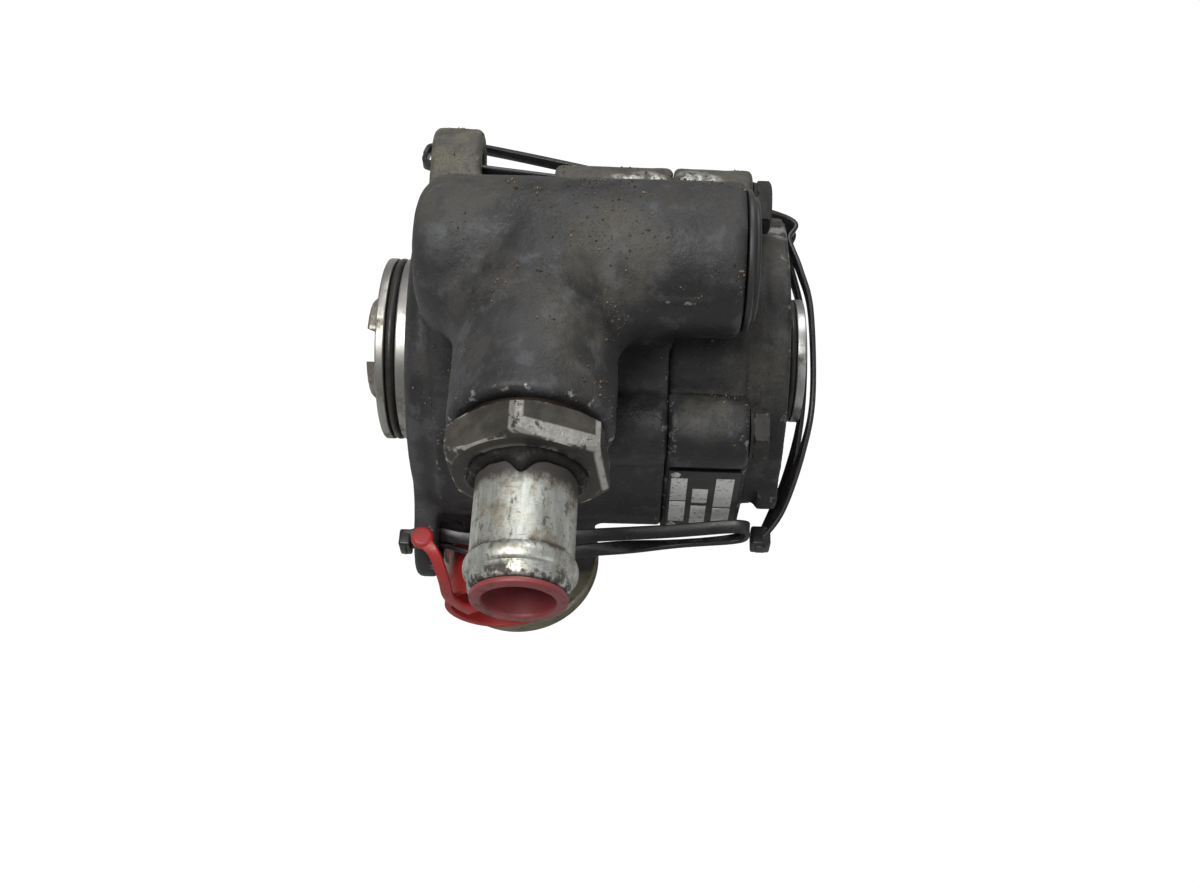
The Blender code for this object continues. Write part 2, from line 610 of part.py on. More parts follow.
def cable_ties(black):
    """The long tie runs round the rear to the back ear, and the short one runs to the front ear."""
    long_route = [
        ((40.8, -41.4, -17.8), (0.4, 0.2, 1)),
        ((45.6, -34.2, -13.4), (0.6, -0.4, 0.7)),
        ((50.4, -22.0, -6.4), (0.2, -0.5, 1)),
        ((52.6, -10.0, -0.4), (0.0, -0.4, 1)),
        ((52.4, 12.0, 4.0), (0.0, -0.1, 1)),
        ((50.0, 23.0, 5.8), (0.0, 0.0, 1)),
        ((47.0, 32.0, 6.6), (0.2, 0.0, 1)),
        ((45.9, 39.3, 6.9), (0.2, 0.0, 1)),
        ((8.0, 42.2, 16.2), (0.0, 0.1, 1)),
        ((-31.0, 52.8, 14.8), (0.0, 0.0, 1)),
        ((-40.0, 53.2, 15.0), (0.0, 0.0, 1)),
        ((-44.0, 53.0, 15.0), (0.0, 0.0, 1)),
        ((-46.0, 52.2, 15.3), (0.0, 0.0, 1)),
        ((-46.5, 50.0, 16.3), (0.0, 0.0, 1)),
        ((-46.4, 46.6, 18.2), (0.0, 0.0, 1)),
        ((-45.5, 43.6, 19.2), (0.0, 0.0, 1)),
        ((-38.0, 42.3, 19.6), (0.0, 0.0, 1)),
        ((-30.0, 42.4, 18.8), (0.0, 0.0, 1)),
        ((8.0, 43.0, 11.4), (0.0, 0.1, 1)),
        ((45.6, 39.5, 3.4), (0.2, 0.0, 1)),
        ((47.2, 30.0, 2.4), (0.2, 0.0, 1)),
        ((50.9, 14.5, -0.8), (0.0, -0.1, 1)),
        ((51.4, 0.0, -4.4), (0.0, -0.4, 1)),
        ((50.2, -14.0, -9.0), (0.2, -0.5, 1)),
        ((47.0, -27.0, -14.8), (0.6, -0.4, 0.7)),
        ((41.6, -38.8, -19.2), (0.5, -0.2, 1)),
    ]
    long_tie = part("cable_tie_long", strap_open(*zip(*long_route), TIE_WIDTH, TIE_THICK, 3), black)
    join(long_tie, block((38.4, -43.2, -21.0), (43.2, -38.2, -15.8)))
    long_tie.modifiers[0].solver = "MANIFOLD"
    flat = (0, 0.866, 0.5)
    on_edge = (0, 0.5, -0.866)
    leaning = (0, 0.766, -0.643)
    short_route = [
        ((-46.5, -42.6, -19.6), flat),
        ((-40.0, -42.0, -18.0), flat),
        ((-30.0, -43.6, -17.6), flat),
        ((-12.0, -43.7, -15.6), flat),
        ((0.0, -43.3, -13.8), flat),
        ((18.0, -42.7, -11.6), flat),
        ((34.2, -42.4, -8.4), flat),
        ((36.8, -42.8, -10.4), (0, 1, 0)),
        ((33.8, -43.2, -13.6), (0, 1, -0.6)),
        ((20.0, -45.0, -13.6), leaning),
        ((0.0, -46.0, -16.3), flat),
        ((-12.0, -47.4, -18.0), flat),
        ((-28.0, -47.3, -18.2), on_edge),
        ((-38.0, -43.8, -21.0), on_edge),
        ((-46.5, -43.6, -23.0), on_edge),
    ]
    short_tie = part("cable_tie_short", strap_open(*zip(*short_route), TIE_WIDTH, TIE_THICK, 3), black)
    join(short_tie, block((-48.2, -45.2, -24.5), (-45.2, -40.8, -18.5)))


clear_scene()
FRAME = bpy.data.objects.new("pump_frame", None)
FRAME.location = (FRAME_X * MM, FRAME_Y * MM, SHAFT_HEIGHT * MM)
bpy.context.scene.collection.objects.link(FRAME)

CAST_PAINT = principled("cast_black_paint", (0.035, 0.035, 0.038), 0.62, 0.1)
COVER_PAINT = principled("cover_black_paint", (0.03, 0.03, 0.033), 0.55, 0.1)
DARK_PAINT = principled("adapter_paint", (0.05, 0.048, 0.045), 0.55, 0.3)
STEEL = principled("machined_steel", (0.55, 0.54, 0.52), 0.35, 1.0)
DARK_STEEL = principled("dark_steel", (0.2, 0.2, 0.2), 0.45, 0.9)
BOLT_STEEL = principled("bolt_black", (0.05, 0.05, 0.05), 0.5, 0.6)
CAST_METAL = principled("bare_casting", (0.4, 0.4, 0.4), 0.5, 0.8)
SPRING_STEEL = principled("spring_steel", (0.35, 0.35, 0.36), 0.35, 1.0)
ZINC = principled("stained_zinc", (0.55, 0.52, 0.45), 0.4, 0.9)
BRONZE = principled("bearing_bronze", (0.5, 0.32, 0.14), 0.4, 1.0)
COPPER = principled("copper_washer", (0.4, 0.16, 0.08), 0.5, 0.9)
RUBBER = principled("black_rubber", (0.015, 0.015, 0.015), 0.5, 0.0)
RED_PLASTIC = principled("red_plastic", (0.65, 0.04, 0.03), 0.4, 0.0)
TIE_NYLON = principled("black_nylon", (0.012, 0.012, 0.013), 0.35, 0.0)
OLIVE_METAL = principled("olive_passivated", (0.3, 0.28, 0.18), 0.45, 0.8)
PLATE_BLACK = principled("nameplate_black", (0.02, 0.02, 0.02), 0.4, 0.2)
RIVET_SILVER = principled("rivet_aluminium", (0.7, 0.7, 0.68), 0.3, 1.0)

pump_housing(CAST_PAINT)
end_cover(COVER_PAINT)
seals(RUBBER)
cover_bolts(BOLT_STEEL)
drive_line(STEEL, DARK_STEEL, BRONZE)
pumping_group(STEEL, CAST_METAL, DARK_STEEL)
flow_valve(STEEL, CAST_METAL, SPRING_STEEL)
suction_line(DARK_PAINT, ZINC, COPPER, RED_PLASTIC)
port_cap(RED_PLASTIC)
lower_fittings(OLIVE_METAL, BOLT_STEEL)
nameplate(PLATE_BLACK, RIVET_SILVER)
cable_ties(TIE_NYLON)
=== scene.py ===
"""The look of the hydraulic vane pump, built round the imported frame.

Working frame, in millimetres: +X runs along the shaft to the rear, -Y is the suction stub's side, +Z is up
and the shaft axis is Y = 0, Z = 0. place() turns a point of it into the frame's metres.
"""

import json
import math

import bmesh
import bpy
import numpy as np
import openvdb
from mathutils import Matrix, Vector, noise


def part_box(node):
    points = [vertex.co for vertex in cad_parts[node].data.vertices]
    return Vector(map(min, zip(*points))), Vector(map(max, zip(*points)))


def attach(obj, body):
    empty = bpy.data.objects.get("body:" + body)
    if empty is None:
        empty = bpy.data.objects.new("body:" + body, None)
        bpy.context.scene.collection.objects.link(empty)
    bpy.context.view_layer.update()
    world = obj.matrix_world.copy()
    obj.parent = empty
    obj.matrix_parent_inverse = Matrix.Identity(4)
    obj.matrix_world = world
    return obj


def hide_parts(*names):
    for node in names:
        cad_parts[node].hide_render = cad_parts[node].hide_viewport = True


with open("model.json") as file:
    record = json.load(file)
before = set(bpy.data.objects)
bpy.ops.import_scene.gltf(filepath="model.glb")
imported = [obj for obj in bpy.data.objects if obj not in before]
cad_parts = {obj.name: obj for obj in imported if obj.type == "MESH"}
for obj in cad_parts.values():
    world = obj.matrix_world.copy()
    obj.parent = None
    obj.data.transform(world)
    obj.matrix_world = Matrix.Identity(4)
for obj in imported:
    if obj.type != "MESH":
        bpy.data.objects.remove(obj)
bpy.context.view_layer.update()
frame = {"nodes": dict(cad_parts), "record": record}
NODES = frame["nodes"]

MM = 0.001
TAU = 2 * math.pi
BODY = "pump_body"

shaft_low, shaft_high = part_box("shaft")
rotor_low, rotor_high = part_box("rotor")
ROTOR_MIDDLE_X = -0.4
ORIGIN = Vector((
    (rotor_low[0] + rotor_high[0]) / 2 - ROTOR_MIDDLE_X * MM,
    (shaft_low[1] + shaft_high[1]) / 2,
    (shaft_low[2] + shaft_high[2]) / 2,
))

VOXEL = 0.62

FLANGE_FRONT = -43.4
HOUSING_END = 16.0
SEAM = 16.06
COLUMN_END = 33.8
COVER_END = 43.5
FACET_Y = -38.0
EARS = ((42.3, 19.7, -31.0), (-42.3, -19.7, -37.8))
EAR_R = 9.8
BOLT_CENTRES = ((-36.0, 25.3), (14.1, 41.7), (0.0, -44.0), (42.5, -11.4))
VALVE = (-11.0, 54.2)
VALVE_LEFT = -38.3
VALVE_RIGHT = 30.4
SUCTION = (-11.8, 54.2)
PORT = (-24.8, -33.5)
DISC = (-20.6, -32.5)


def place(x, y, z):
    return ORIGIN + Vector((x, y, z)) * MM


# ---------------------------------------------------------------- camera, light and floor


def camera():
    """Looks down at sixty degrees on the side of the stub, from a hand-held height."""
    distance = 350.0
    elevation = math.radians(60)
    azimuth = math.radians(2.1)
    target = place(0.6, -19.1, -11.1)
    back = Vector((
        math.sin(azimuth) * math.cos(elevation),
        -math.cos(azimuth) * math.cos(elevation),
        math.sin(elevation),
    ))
    data = bpy.data.cameras.new("camera")
    data.sensor_width = 36.0
    data.lens = 42.0
    data.clip_start = 0.01
    eye = bpy.data.objects.new("camera", data)
    eye.location = target + back * distance * MM
    eye.rotation_euler = (-back).to_track_quat("-Z", "Y").to_euler()
    bpy.context.scene.collection.objects.link(eye)
    bpy.context.scene.camera = eye


def area_light(name, position, aim, size, watts, colour):
    data = bpy.data.lights.new(name, "AREA")
    data.shape = "DISK"
    data.size = size
    data.energy = watts
    data.color = colour
    lamp = bpy.data.objects.new(name, data)
    lamp.location = position
    lamp.rotation_euler = (Vector(aim) - Vector(position)).to_track_quat("-Z", "Y").to_euler()
    bpy.context.scene.collection.objects.link(lamp)


def studio():
    world = bpy.data.worlds.new("studio")
    world.use_nodes = True
    background = world.node_tree.nodes["Background"]
    background.inputs["Color"].default_value = (1.0, 1.0, 1.0, 1.0)
    path = world.node_tree.nodes.new("ShaderNodeLightPath")
    strength = world.node_tree.nodes.new("ShaderNodeMapRange")
    strength.inputs["To Min"].default_value = 0.28
    strength.inputs["To Max"].default_value = 1.05
    world.node_tree.links.new(path.outputs["Is Camera Ray"], strength.inputs["Value"])
    world.node_tree.links.new(strength.outputs["Result"], background.inputs["Strength"])
    bpy.context.scene.world = world
    bpy.context.scene.view_settings.view_transform = "Standard"
    middle = (0, 0, 0.05)
    area_light("key", (-0.2, -0.12, 0.8), middle, 0.5, 5.4, (1.0, 0.99, 0.97))
    area_light("fill", (0.5, -0.5, 0.5), middle, 0.6, 0.7, (0.96, 0.98, 1.0))
    area_light("back", (0.1, 0.5, 0.6), middle, 0.4, 1.8, (1.0, 1.0, 1.0))
    mesh = bpy.data.meshes.new("floor")
    size = 1.5
    corners = [(-size, -size, 0), (size, -size, 0), (size, size, 0), (-size, size, 0)]
    mesh.from_pydata(corners, [], [(0, 1, 2, 3)])
    floor = bpy.data.objects.new("floor", mesh)
    floor.location.z = -0.0002
    bpy.context.scene.collection.objects.link(floor)
    paper = Shader("floor_paper", roughness=0.9)
    grain = paper.noise(35, 3)
    paper.colour(paper.blend(grain, (0.4, 0.4, 0.4), (0.46, 0.46, 0.46)))
    mesh.materials.append(paper.material)
    floor.visible_camera = False


# ---------------------------------------------------------------- materials


class Shader:
    """A Principled material with short ways to wire procedural detail, in millimetres of object space."""

    def __init__(self, name, roughness=0.5, metallic=0.0, specular=0.5):
        self.material = bpy.data.materials.new(name)
        self.material.use_nodes = True
        self.tree = self.material.node_tree
        self.shader = self.tree.nodes["Principled BSDF"]
        self.shader.inputs["Roughness"].default_value = roughness
        self.shader.inputs["Metallic"].default_value = metallic
        self.shader.inputs["Specular IOR Level"].default_value = specular
        where = self.tree.nodes.new("ShaderNodeTexCoord")
        scale = self.tree.nodes.new("ShaderNodeVectorMath")
        scale.operation = "SCALE"
        scale.inputs["Scale"].default_value = 1000.0
        self.tree.links.new(where.outputs["Object"], scale.inputs[0])
        self.where = scale.outputs[0]
        self.top = None

    def feed(self, socket, value):
        if isinstance(value, bpy.types.NodeSocket):
            self.tree.links.new(value, socket)
        elif isinstance(value, tuple) and socket.type == "RGBA":
            socket.default_value = (*value, 1.0) if len(value) == 3 else value
        else:
            socket.default_value = value

    def stretched(self, x, y, z):
        return self.vector_math("MULTIPLY", self.where, (x, y, z))

    def noise(self, size, detail=3.0, rough=0.55, where=None):
        """Fractal noise whose blobs are about size millimetres across."""
        node = self.tree.nodes.new("ShaderNodeTexNoise")
        self.feed(node.inputs["Vector"], where or self.where)
        node.inputs["Scale"].default_value = 1.0 / size
        node.inputs["Detail"].default_value = detail
        node.inputs["Roughness"].default_value = rough
        return node.outputs["Fac"]

    def step(self, value, low, high, to_low=0.0, to_high=1.0):
        node = self.tree.nodes.new("ShaderNodeMapRange")
        node.interpolation_type = "SMOOTHSTEP"
        self.feed(node.inputs["Value"], value)
        node.inputs["From Min"].default_value = low
        node.inputs["From Max"].default_value = high
        node.inputs["To Min"].default_value = to_low
        node.inputs["To Max"].default_value = to_high
        return node.outputs["Result"]

    def math(self, operation, a, b=0.0):
        node = self.tree.nodes.new("ShaderNodeMath")
        node.operation = operation
        self.feed(node.inputs[0], a)
        self.feed(node.inputs[1], b)
        return node.outputs[0]

    def blend(self, factor, a, b):
        node = self.tree.nodes.new("ShaderNodeMix")
        node.data_type = "RGBA"
        self.feed(node.inputs["Factor"], factor)
        self.feed(node.inputs["A"], a)
        self.feed(node.inputs["B"], b)
        return node.outputs["Result"]

    def axis(self, name):
        node = self.tree.nodes.new("ShaderNodeSeparateXYZ")
        self.feed(node.inputs[0], self.where)
        return node.outputs[name]

    def facing_up(self):
        """0 on walls and undersides to 1 on level tops."""
        node = self.tree.nodes.new("ShaderNodeNewGeometry")
        split = self.tree.nodes.new("ShaderNodeSeparateXYZ")
        self.feed(split.inputs[0], node.outputs["Normal"])
        return self.step(split.outputs["Z"], 0.1, 0.9)

    def attribute(self, name):
        node = self.tree.nodes.new("ShaderNodeAttribute")
        node.attribute_name = name
        return node.outputs["Fac"]

    def distance_from(self, centre, radius, soft):
        """1 inside a ball about a point of the working frame, fading to 0 past its radius."""
        gap = self.vector_math("DISTANCE", self.where, tuple(place(*centre) / MM))
        return self.step(gap, radius, radius + soft, 1.0, 0.0)

    def vector_math(self, operation, *values):
        node = self.tree.nodes.new("ShaderNodeVectorMath")
        node.operation = operation
        second = node.inputs["Scale" if operation == "SCALE" else 1]
        for socket, value in zip((node.inputs[0], second), values):
            self.feed(socket, value)
        return node.outputs["Value" if operation in ("DOT_PRODUCT", "LENGTH", "DISTANCE") else "Vector"]

    def near_line(self, start, end, radius, soft):
        """1 close to the straight line between two points of the working frame, fading to 0."""
        first = place(*start) / MM
        span = place(*end) / MM - first
        away = self.vector_math("SUBTRACT", self.where, tuple(first))
        share = self.vector_math("DOT_PRODUCT", away, tuple(span / span.length_squared))
        share = self.math("MINIMUM", self.math("MAXIMUM", share, 0.0), 1.0)
        nearest = self.vector_math("SCALE", tuple(span), share)
        gap = self.vector_math("LENGTH", self.vector_math("SUBTRACT", away, nearest))
        return self.step(gap, radius, radius + soft, 1.0, 0.0)

    def bump(self, height, distance, strength=1.0):
        node = self.tree.nodes.new("ShaderNodeBump")
        node.inputs["Strength"].default_value = strength
        node.inputs["Distance"].default_value = distance * MM
        self.feed(node.inputs["Height"], height)
        if self.top is not None:
            self.feed(node.inputs["Normal"], self.top)
        self.top = node.outputs["Normal"]
        self.feed(self.shader.inputs["Normal"], self.top)

    def colour(self, value):
        self.feed(self.shader.inputs["Base Color"], value)

    def roughness(self, value):
        self.feed(self.shader.inputs["Roughness"], value)

    def metallic(self, value):
        self.feed(self.shader.inputs["Metallic"], value)


def painted_casting(name, base, scuff, bare_spots, dirt_spots, dust_amount, wear_amount):
    """Matt black paint on rough sand casting, with greasy dust, rusty grit, grey scuffs and bare edges."""
    s = Shader(name, specular=0.35)
    broad = s.noise(14, 4)
    fine = s.noise(1.1, 4, 0.6)
    grit = s.noise(0.55, 3, 0.7)
    up = s.facing_up()
    wear = s.attribute("wear")
    colour = s.blend(s.step(broad, 0.35, 0.7), base, scuff)
    scuffed = s.math("MULTIPLY", s.step(s.noise(7, 5, 0.62), 0.54, 0.66), 0.6)
    colour = s.blend(scuffed, colour, (0.066, 0.07, 0.076))
    settled = s.step(s.noise(9, 5, 0.65), 0.44, 0.68)
    dusty = s.math("MULTIPLY", settled, s.math("ADD", s.math("MULTIPLY", up, 0.8), 0.2))
    hollows = s.step(wear, -0.05, -0.45)
    dusty = s.math("MULTIPLY", s.math("MAXIMUM", dusty, s.math("MULTIPLY", hollows, 0.6)), dust_amount)
    film = None
    for centre, radius, strength in dirt_spots:
        spot = s.math("MULTIPLY", s.distance_from(centre, radius, radius), strength)
        film = s.math("MAXIMUM", film, spot) if film else spot
    speckle = s.step(grit, 0.55, 0.65)
    colour = s.blend(s.math("MULTIPLY", dusty, 0.5), colour, (0.062, 0.059, 0.054))
    cloudy = s.step(s.noise(4.5, 5, 0.65), 0.34, 0.62, 0.35, 0.9)
    colour = s.blend(s.math("MULTIPLY", film, cloudy), colour, (0.125, 0.118, 0.092))
    colour = s.blend(s.math("MULTIPLY", s.math("MULTIPLY", dusty, speckle), 0.4), colour, (0.13, 0.1, 0.07))
    edge = s.math("MULTIPLY", s.step(wear, 0.3, 0.6), s.step(s.noise(3.2, 5, 0.65), 0.57, 0.64))
    bare = s.math("MULTIPLY", edge, wear_amount)
    ragged = s.step(s.noise(3.5, 5, 0.65), 0.42, 0.56)
    for centre, radius in bare_spots:
        spot = s.math("MULTIPLY", s.distance_from(centre, radius, radius * 0.5), ragged)
        bare = s.math("MAXIMUM", bare, spot)
    metal = s.blend(fine, (0.5, 0.5, 0.48), (0.24, 0.225, 0.2))
    s.colour(s.blend(bare, colour, metal))
    s.metallic(s.math("MULTIPLY", bare, 0.9))
    rough = s.math("ADD", s.step(broad, 0.3, 0.75, 0.42, 0.62), s.math("MULTIPLY", dusty, 0.3))
    s.roughness(s.math("SUBTRACT", rough, s.math("MULTIPLY", bare, 0.12)))
    s.bump(s.noise(2.6, 4, 0.6), 0.35, 0.7)
    s.bump(fine, 0.16, 0.8)
    s.bump(s.math("MULTIPLY", speckle, dusty), 0.18, 0.7)
    s.bump(s.math("MULTIPLY", bare, -1.0), 0.12, 0.6)
    return s.material


def machined(name, light, dark, stain, rough=0.34, stain_low=0.5, stain_high=0.72, ring_axis="X"):
    """Turned or ground metal: fine tool marks, oil stains and small pits."""
    s = Shader(name, metallic=1.0)
    marks = {"X": (9.0, 0.35, 0.35), "Y": (0.35, 9.0, 0.35), "Z": (0.35, 0.35, 9.0)}[ring_axis]
    tool = s.noise(1.6, 3, 0.6, s.stretched(*marks))
    cloud = s.noise(7, 5, 0.65)
    spots = s.step(s.noise(0.9, 4, 0.7), 0.6, 0.7)
    stained = s.math("MAXIMUM", s.step(cloud, stain_low, stain_high), s.math("MULTIPLY", spots, 0.5))
    colour = s.blend(tool, light, dark)
    s.colour(s.blend(stained, colour, stain))
    s.metallic(s.step(stained, 0.0, 1.0, 1.0, 0.55))
    s.roughness(s.math("ADD", s.math("MULTIPLY", tool, 0.12), s.step(stained, 0, 1, rough, rough + 0.25)))
    s.bump(tool, 0.03, 0.8)
    s.bump(spots, 0.05, 0.6)
    return s.material


def stained_zinc():
    """The hose stub: pale zinc with brown stains, scratches across it and black grime at its ends."""
    s = Shader("stained_zinc", metallic=0.85)
    cloud = s.noise(5.5, 6, 0.7)
    along = s.noise(3, 4, 0.65, s.stretched(2.4, 0.45, 2.4))
    scratches = s.step(s.noise(1.4, 4, 0.7, s.stretched(0.35, 2.8, 0.5)), 0.6, 0.7)
    pits = s.step(s.noise(0.8, 4, 0.75), 0.62, 0.7)
    colour = s.blend(s.step(along, 0.3, 0.75), (0.62, 0.64, 0.6), (0.38, 0.39, 0.35))
    colour = s.blend(s.step(cloud, 0.48, 0.66, 0.0, 0.8), colour, (0.25, 0.2, 0.12))
    smears = s.step(s.noise(2.4, 6, 0.72, s.stretched(1.3, 0.5, 1.3)), 0.55, 0.64)
    colour = s.blend(s.math("MULTIPLY", smears, 0.75), colour, (0.1, 0.085, 0.065))
    colour = s.blend(s.math("MULTIPLY", scratches, 0.7), colour, (0.09, 0.08, 0.07))
    y = s.axis("Y")
    base_y = (ORIGIN.y / MM) - 69.2
    near_nut = s.step(s.math("ADD", y, s.math("MULTIPLY", cloud, 6.0)), base_y, base_y + 4.0)
    bead_y = (ORIGIN.y / MM) - 84.4
    by_bead = s.step(s.math("ABSOLUTE", s.math("SUBTRACT", y, bead_y + 1.2)), 0.3, 1.6, 1.0, 0.0)
    grime = s.math("MAXIMUM", near_nut, s.math("MULTIPLY", by_bead, s.step(cloud, 0.4, 0.6)))
    grime = s.math("MAXIMUM", grime, s.math("MULTIPLY", pits, 0.7))
    end_y = (ORIGIN.y / MM) - 86.4
    by_end = s.math("MULTIPLY", s.step(y, end_y, end_y - 1.6), s.step(s.noise(2.2, 5, 0.7), 0.42, 0.56))
    grime = s.math("MAXIMUM", grime, by_end)
    s.colour(s.blend(grime, colour, (0.05, 0.045, 0.04)))
    s.metallic(s.step(grime, 0, 1, 0.85, 0.2))
    s.roughness(s.math("ADD", s.step(cloud, 0.3, 0.7, 0.3, 0.5), s.math("MULTIPLY", grime, 0.25)))
    s.bump(along, 0.05, 0.7)
    s.bump(s.math("MAXIMUM", scratches, pits), 0.06, 0.6)
    return s.material


def worn_hex():
    """The adapter: dark oily paint, bare bright metal along its edges and in two scrubbed patches."""
    s = Shader("worn_hex", specular=0.4)
    fine = s.noise(1.0, 4, 0.65)
    broad = s.noise(5, 5, 0.6)
    wear = s.attribute("wear")
    colour = s.blend(s.step(broad, 0.35, 0.7), (0.026, 0.024, 0.021), (0.06, 0.054, 0.044))
    bare = s.math("MULTIPLY", s.step(wear, 0.45, 0.9), s.step(broad, 0.5, 0.58))
    ragged = s.step(s.noise(2.2, 5, 0.7), 0.36, 0.47)
    rubbed = (
        ((-13.5, -57.0, 71.3), (-13.4, -64.2, 71.3), 1.0),
        ((-13.0, -62.6, 71.1), (1.8, -62.8, 64.5), 1.2),
        ((2.1, -57.5, 64.3), (2.2, -64.3, 64.2), 0.5),
        ((2.2, -64.4, 63.5), (3.8, -64.4, 49.0), 0.7),
    )
    for start, end, radius in rubbed:
        bare = s.math("MAXIMUM", bare, s.math("MULTIPLY", s.near_line(start, end, radius, 0.7), ragged))
    s.colour(s.blend(bare, colour, s.blend(fine, (0.62, 0.61, 0.58), (0.36, 0.34, 0.3))))
    s.metallic(s.math("MULTIPLY", bare, 0.9))
    s.roughness(s.math("SUBTRACT", s.step(broad, 0.3, 0.7, 0.5, 0.68), s.math("MULTIPLY", bare, 0.18)))
    s.bump(broad, 0.2, 0.5)
    s.bump(fine, 0.12, 0.8)
    return s.material


def plastic(name, base, shade, rough, grime, scratch=0.05):
    """Moulded plastic with faint flow marks, handling scratches and dirt."""
    s = Shader(name, roughness=rough)
    cloud = s.noise(4, 4, 0.6)
    scratches = s.step(s.noise(0.9, 4, 0.7, s.stretched(0.5, 2.5, 1.0)), 0.6, 0.68)
    dirt = s.math("MULTIPLY", s.step(s.noise(3, 5, 0.7), 0.52, 0.66), grime)
    colour = s.blend(cloud, base, shade)
    s.colour(s.blend(dirt, colour, (0.07, 0.045, 0.035)))
    worn = s.step(cloud, 0.3, 0.7, rough - 0.06, rough + 0.08)
    s.roughness(s.math("ADD", worn, s.math("MULTIPLY", dirt, 0.2)))
    s.bump(cloud, 0.06, 0.5)
    s.bump(scratches, scratch, 0.5)
    return s


def red_plastic(name, base, shade, grime):
    s = plastic(name, base, shade, 0.42, grime)
    s.shader.inputs["Subsurface Weight"].default_value = 0.15
    s.shader.inputs["Subsurface Radius"].default_value = (1.0, 0.2, 0.12)
    s.shader.inputs["Subsurface Scale"].default_value = 0.0008
    return s.material


def rubber():
    s = Shader("black_rubber", roughness=0.4, specular=0.4)
    oil = s.noise(3, 4, 0.6)
    s.colour(s.blend(oil, (0.012, 0.012, 0.012), (0.035, 0.033, 0.03)))
    s.roughness(s.step(oil, 0.3, 0.7, 0.28, 0.55))
    s.bump(s.noise(0.7, 3), 0.04, 0.6)
    return s.material


def grit():
    s = Shader("grit", roughness=0.9, specular=0.2)
    tone = s.noise(2.5, 3)
    s.colour(s.blend(s.step(tone, 0.35, 0.65), (0.03, 0.026, 0.021), (0.2, 0.15, 0.1)))
    s.bump(s.noise(0.25, 3), 0.08, 0.9)
    return s.material


def olive_metal():
    """Yellow-passivated steel worn to bare along its rim, with dark oily smears."""
    s = Shader("olive_metal", metallic=0.75)
    cloud = s.noise(6, 5, 0.65)
    fine = s.noise(0.8, 4, 0.7)
    smear = s.step(s.noise(3.4, 6, 0.7), 0.52, 0.68)
    colour = s.blend(s.step(cloud, 0.35, 0.7), (0.36, 0.34, 0.25), (0.24, 0.215, 0.135))
    colour = s.blend(s.math("MULTIPLY", smear, 0.6), colour, (0.1, 0.085, 0.055))
    s.colour(s.blend(s.math("MULTIPLY", s.attribute("wear"), 0.7), colour, (0.6, 0.59, 0.53)))
    s.roughness(s.step(cloud, 0.3, 0.7, 0.36, 0.56))
    s.bump(fine, 0.05, 0.7)
    return s.material


def nylon():
    return plastic("black_nylon", (0.012, 0.012, 0.013), (0.022, 0.022, 0.024), 0.32, 0.4, 0.03).material


# ---------------------------------------------------------------- meshes


def add_object(name, mesh, material, body=BODY, replaces=()):
    obj = bpy.data.objects.new(name, mesh)
    bpy.context.scene.collection.objects.link(obj)
    mesh.materials.clear()
    mesh.materials.append(material)
    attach(obj, body)
    if replaces:
        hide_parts(*replaces)
    return obj


def to_mesh(name, bm, angle=32, wear=None):
    """Mesh in metres from working-frame geometry; convex edges that turn by wear radians are fully worn."""
    bmesh.ops.recalc_face_normals(bm, faces=bm.faces)
    if wear:
        layer = bm.verts.layers.float.new("wear")
        for vert in bm.verts:
            inner = [edge for edge in vert.link_edges if len(edge.link_faces) == 2]
            turns = [edge.calc_face_angle(0.0) for edge in inner]
            sharp = [edge.calc_face_angle_signed(0.0) for edge in inner]
            convex = sharp and max(sharp) > 0
            vert[layer] = min(1.0, max(turns, default=0.0) / wear) if convex else 0.0
    for vert in bm.verts:
        vert.co = place(*vert.co)
    mesh = bpy.data.meshes.new(name)
    bm.to_mesh(mesh)
    bm.free()
    mesh.shade_smooth()
    mesh.set_sharp_from_angle(angle=math.radians(angle))
    return mesh


def on_axis(along, a, u, v):
    if along == "X":
        return Vector((a, u, v))
    if along == "Y":
        return Vector((u, a, v))
    return Vector((u, v, a))


def loft(rings, looped=False):
    bm = bmesh.new()
    rows = [[bm.verts.new(point) for point in ring] for ring in rings]
    pairs = list(zip(rows, rows[1:]))
    if looped:
        pairs.append((rows[-1], rows[0]))
    for near, far in pairs:
        count = max(len(near), len(far))
        for k in range(count):
            n = (k + 1) % count
            corners = [near[k % len(near)], near[n % len(near)], far[n % len(far)], far[k % len(far)]]
            corners = list(dict.fromkeys(corners))
            if len(corners) > 2:
                bm.faces.new(corners)
    if not looped:
        for row in (rows[0], rows[-1]):
            if len(row) > 2:
                bm.faces.new(row)
    return bm


def rounded(profile, radius, steps=4):
    """The profile with each corner turned into a small arc, so that machined edges catch the light."""
    found = []
    count = len(profile)
    for k, corner in enumerate(profile):
        here = Vector(corner)
        before = Vector(profile[k - 1])
        after = Vector(profile[(k + 1) % count])
        if corner[1] == 0:
            found.append(tuple(here))
            continue
        reach = min(radius, (before - here).length * 0.45, (after - here).length * 0.45)
        start = here + (before - here).normalized() * reach
        end = here + (after - here).normalized() * reach
        for s in range(steps + 1):
            t = s / steps
            found.append(tuple(start * (1 - t) ** 2 + here * 2 * t * (1 - t) + end * t**2))
    return found


def circle(along, a, r, centre, count, phase=0.0):
    turns = [TAU * k / count + phase for k in range(count)]
    return [on_axis(along, a, centre[0] + r * math.cos(t), centre[1] + r * math.sin(t)) for t in turns]


def turned(profile, centre=(0, 0), along="X", steps=96, looped=False):
    rings = []
    for a, r in profile:
        count = steps if r > 1e-6 else 1
        rings.append(circle(along, a, r, centre, count))
    return loft(rings, looped)


def torus(a, mean_r, section_r):
    turns = [TAU * k / 16 for k in range(16)]
    profile = [(a + section_r * math.cos(t), mean_r + section_r * math.sin(t)) for t in turns]
    return turned(profile, steps=120, looped=True)


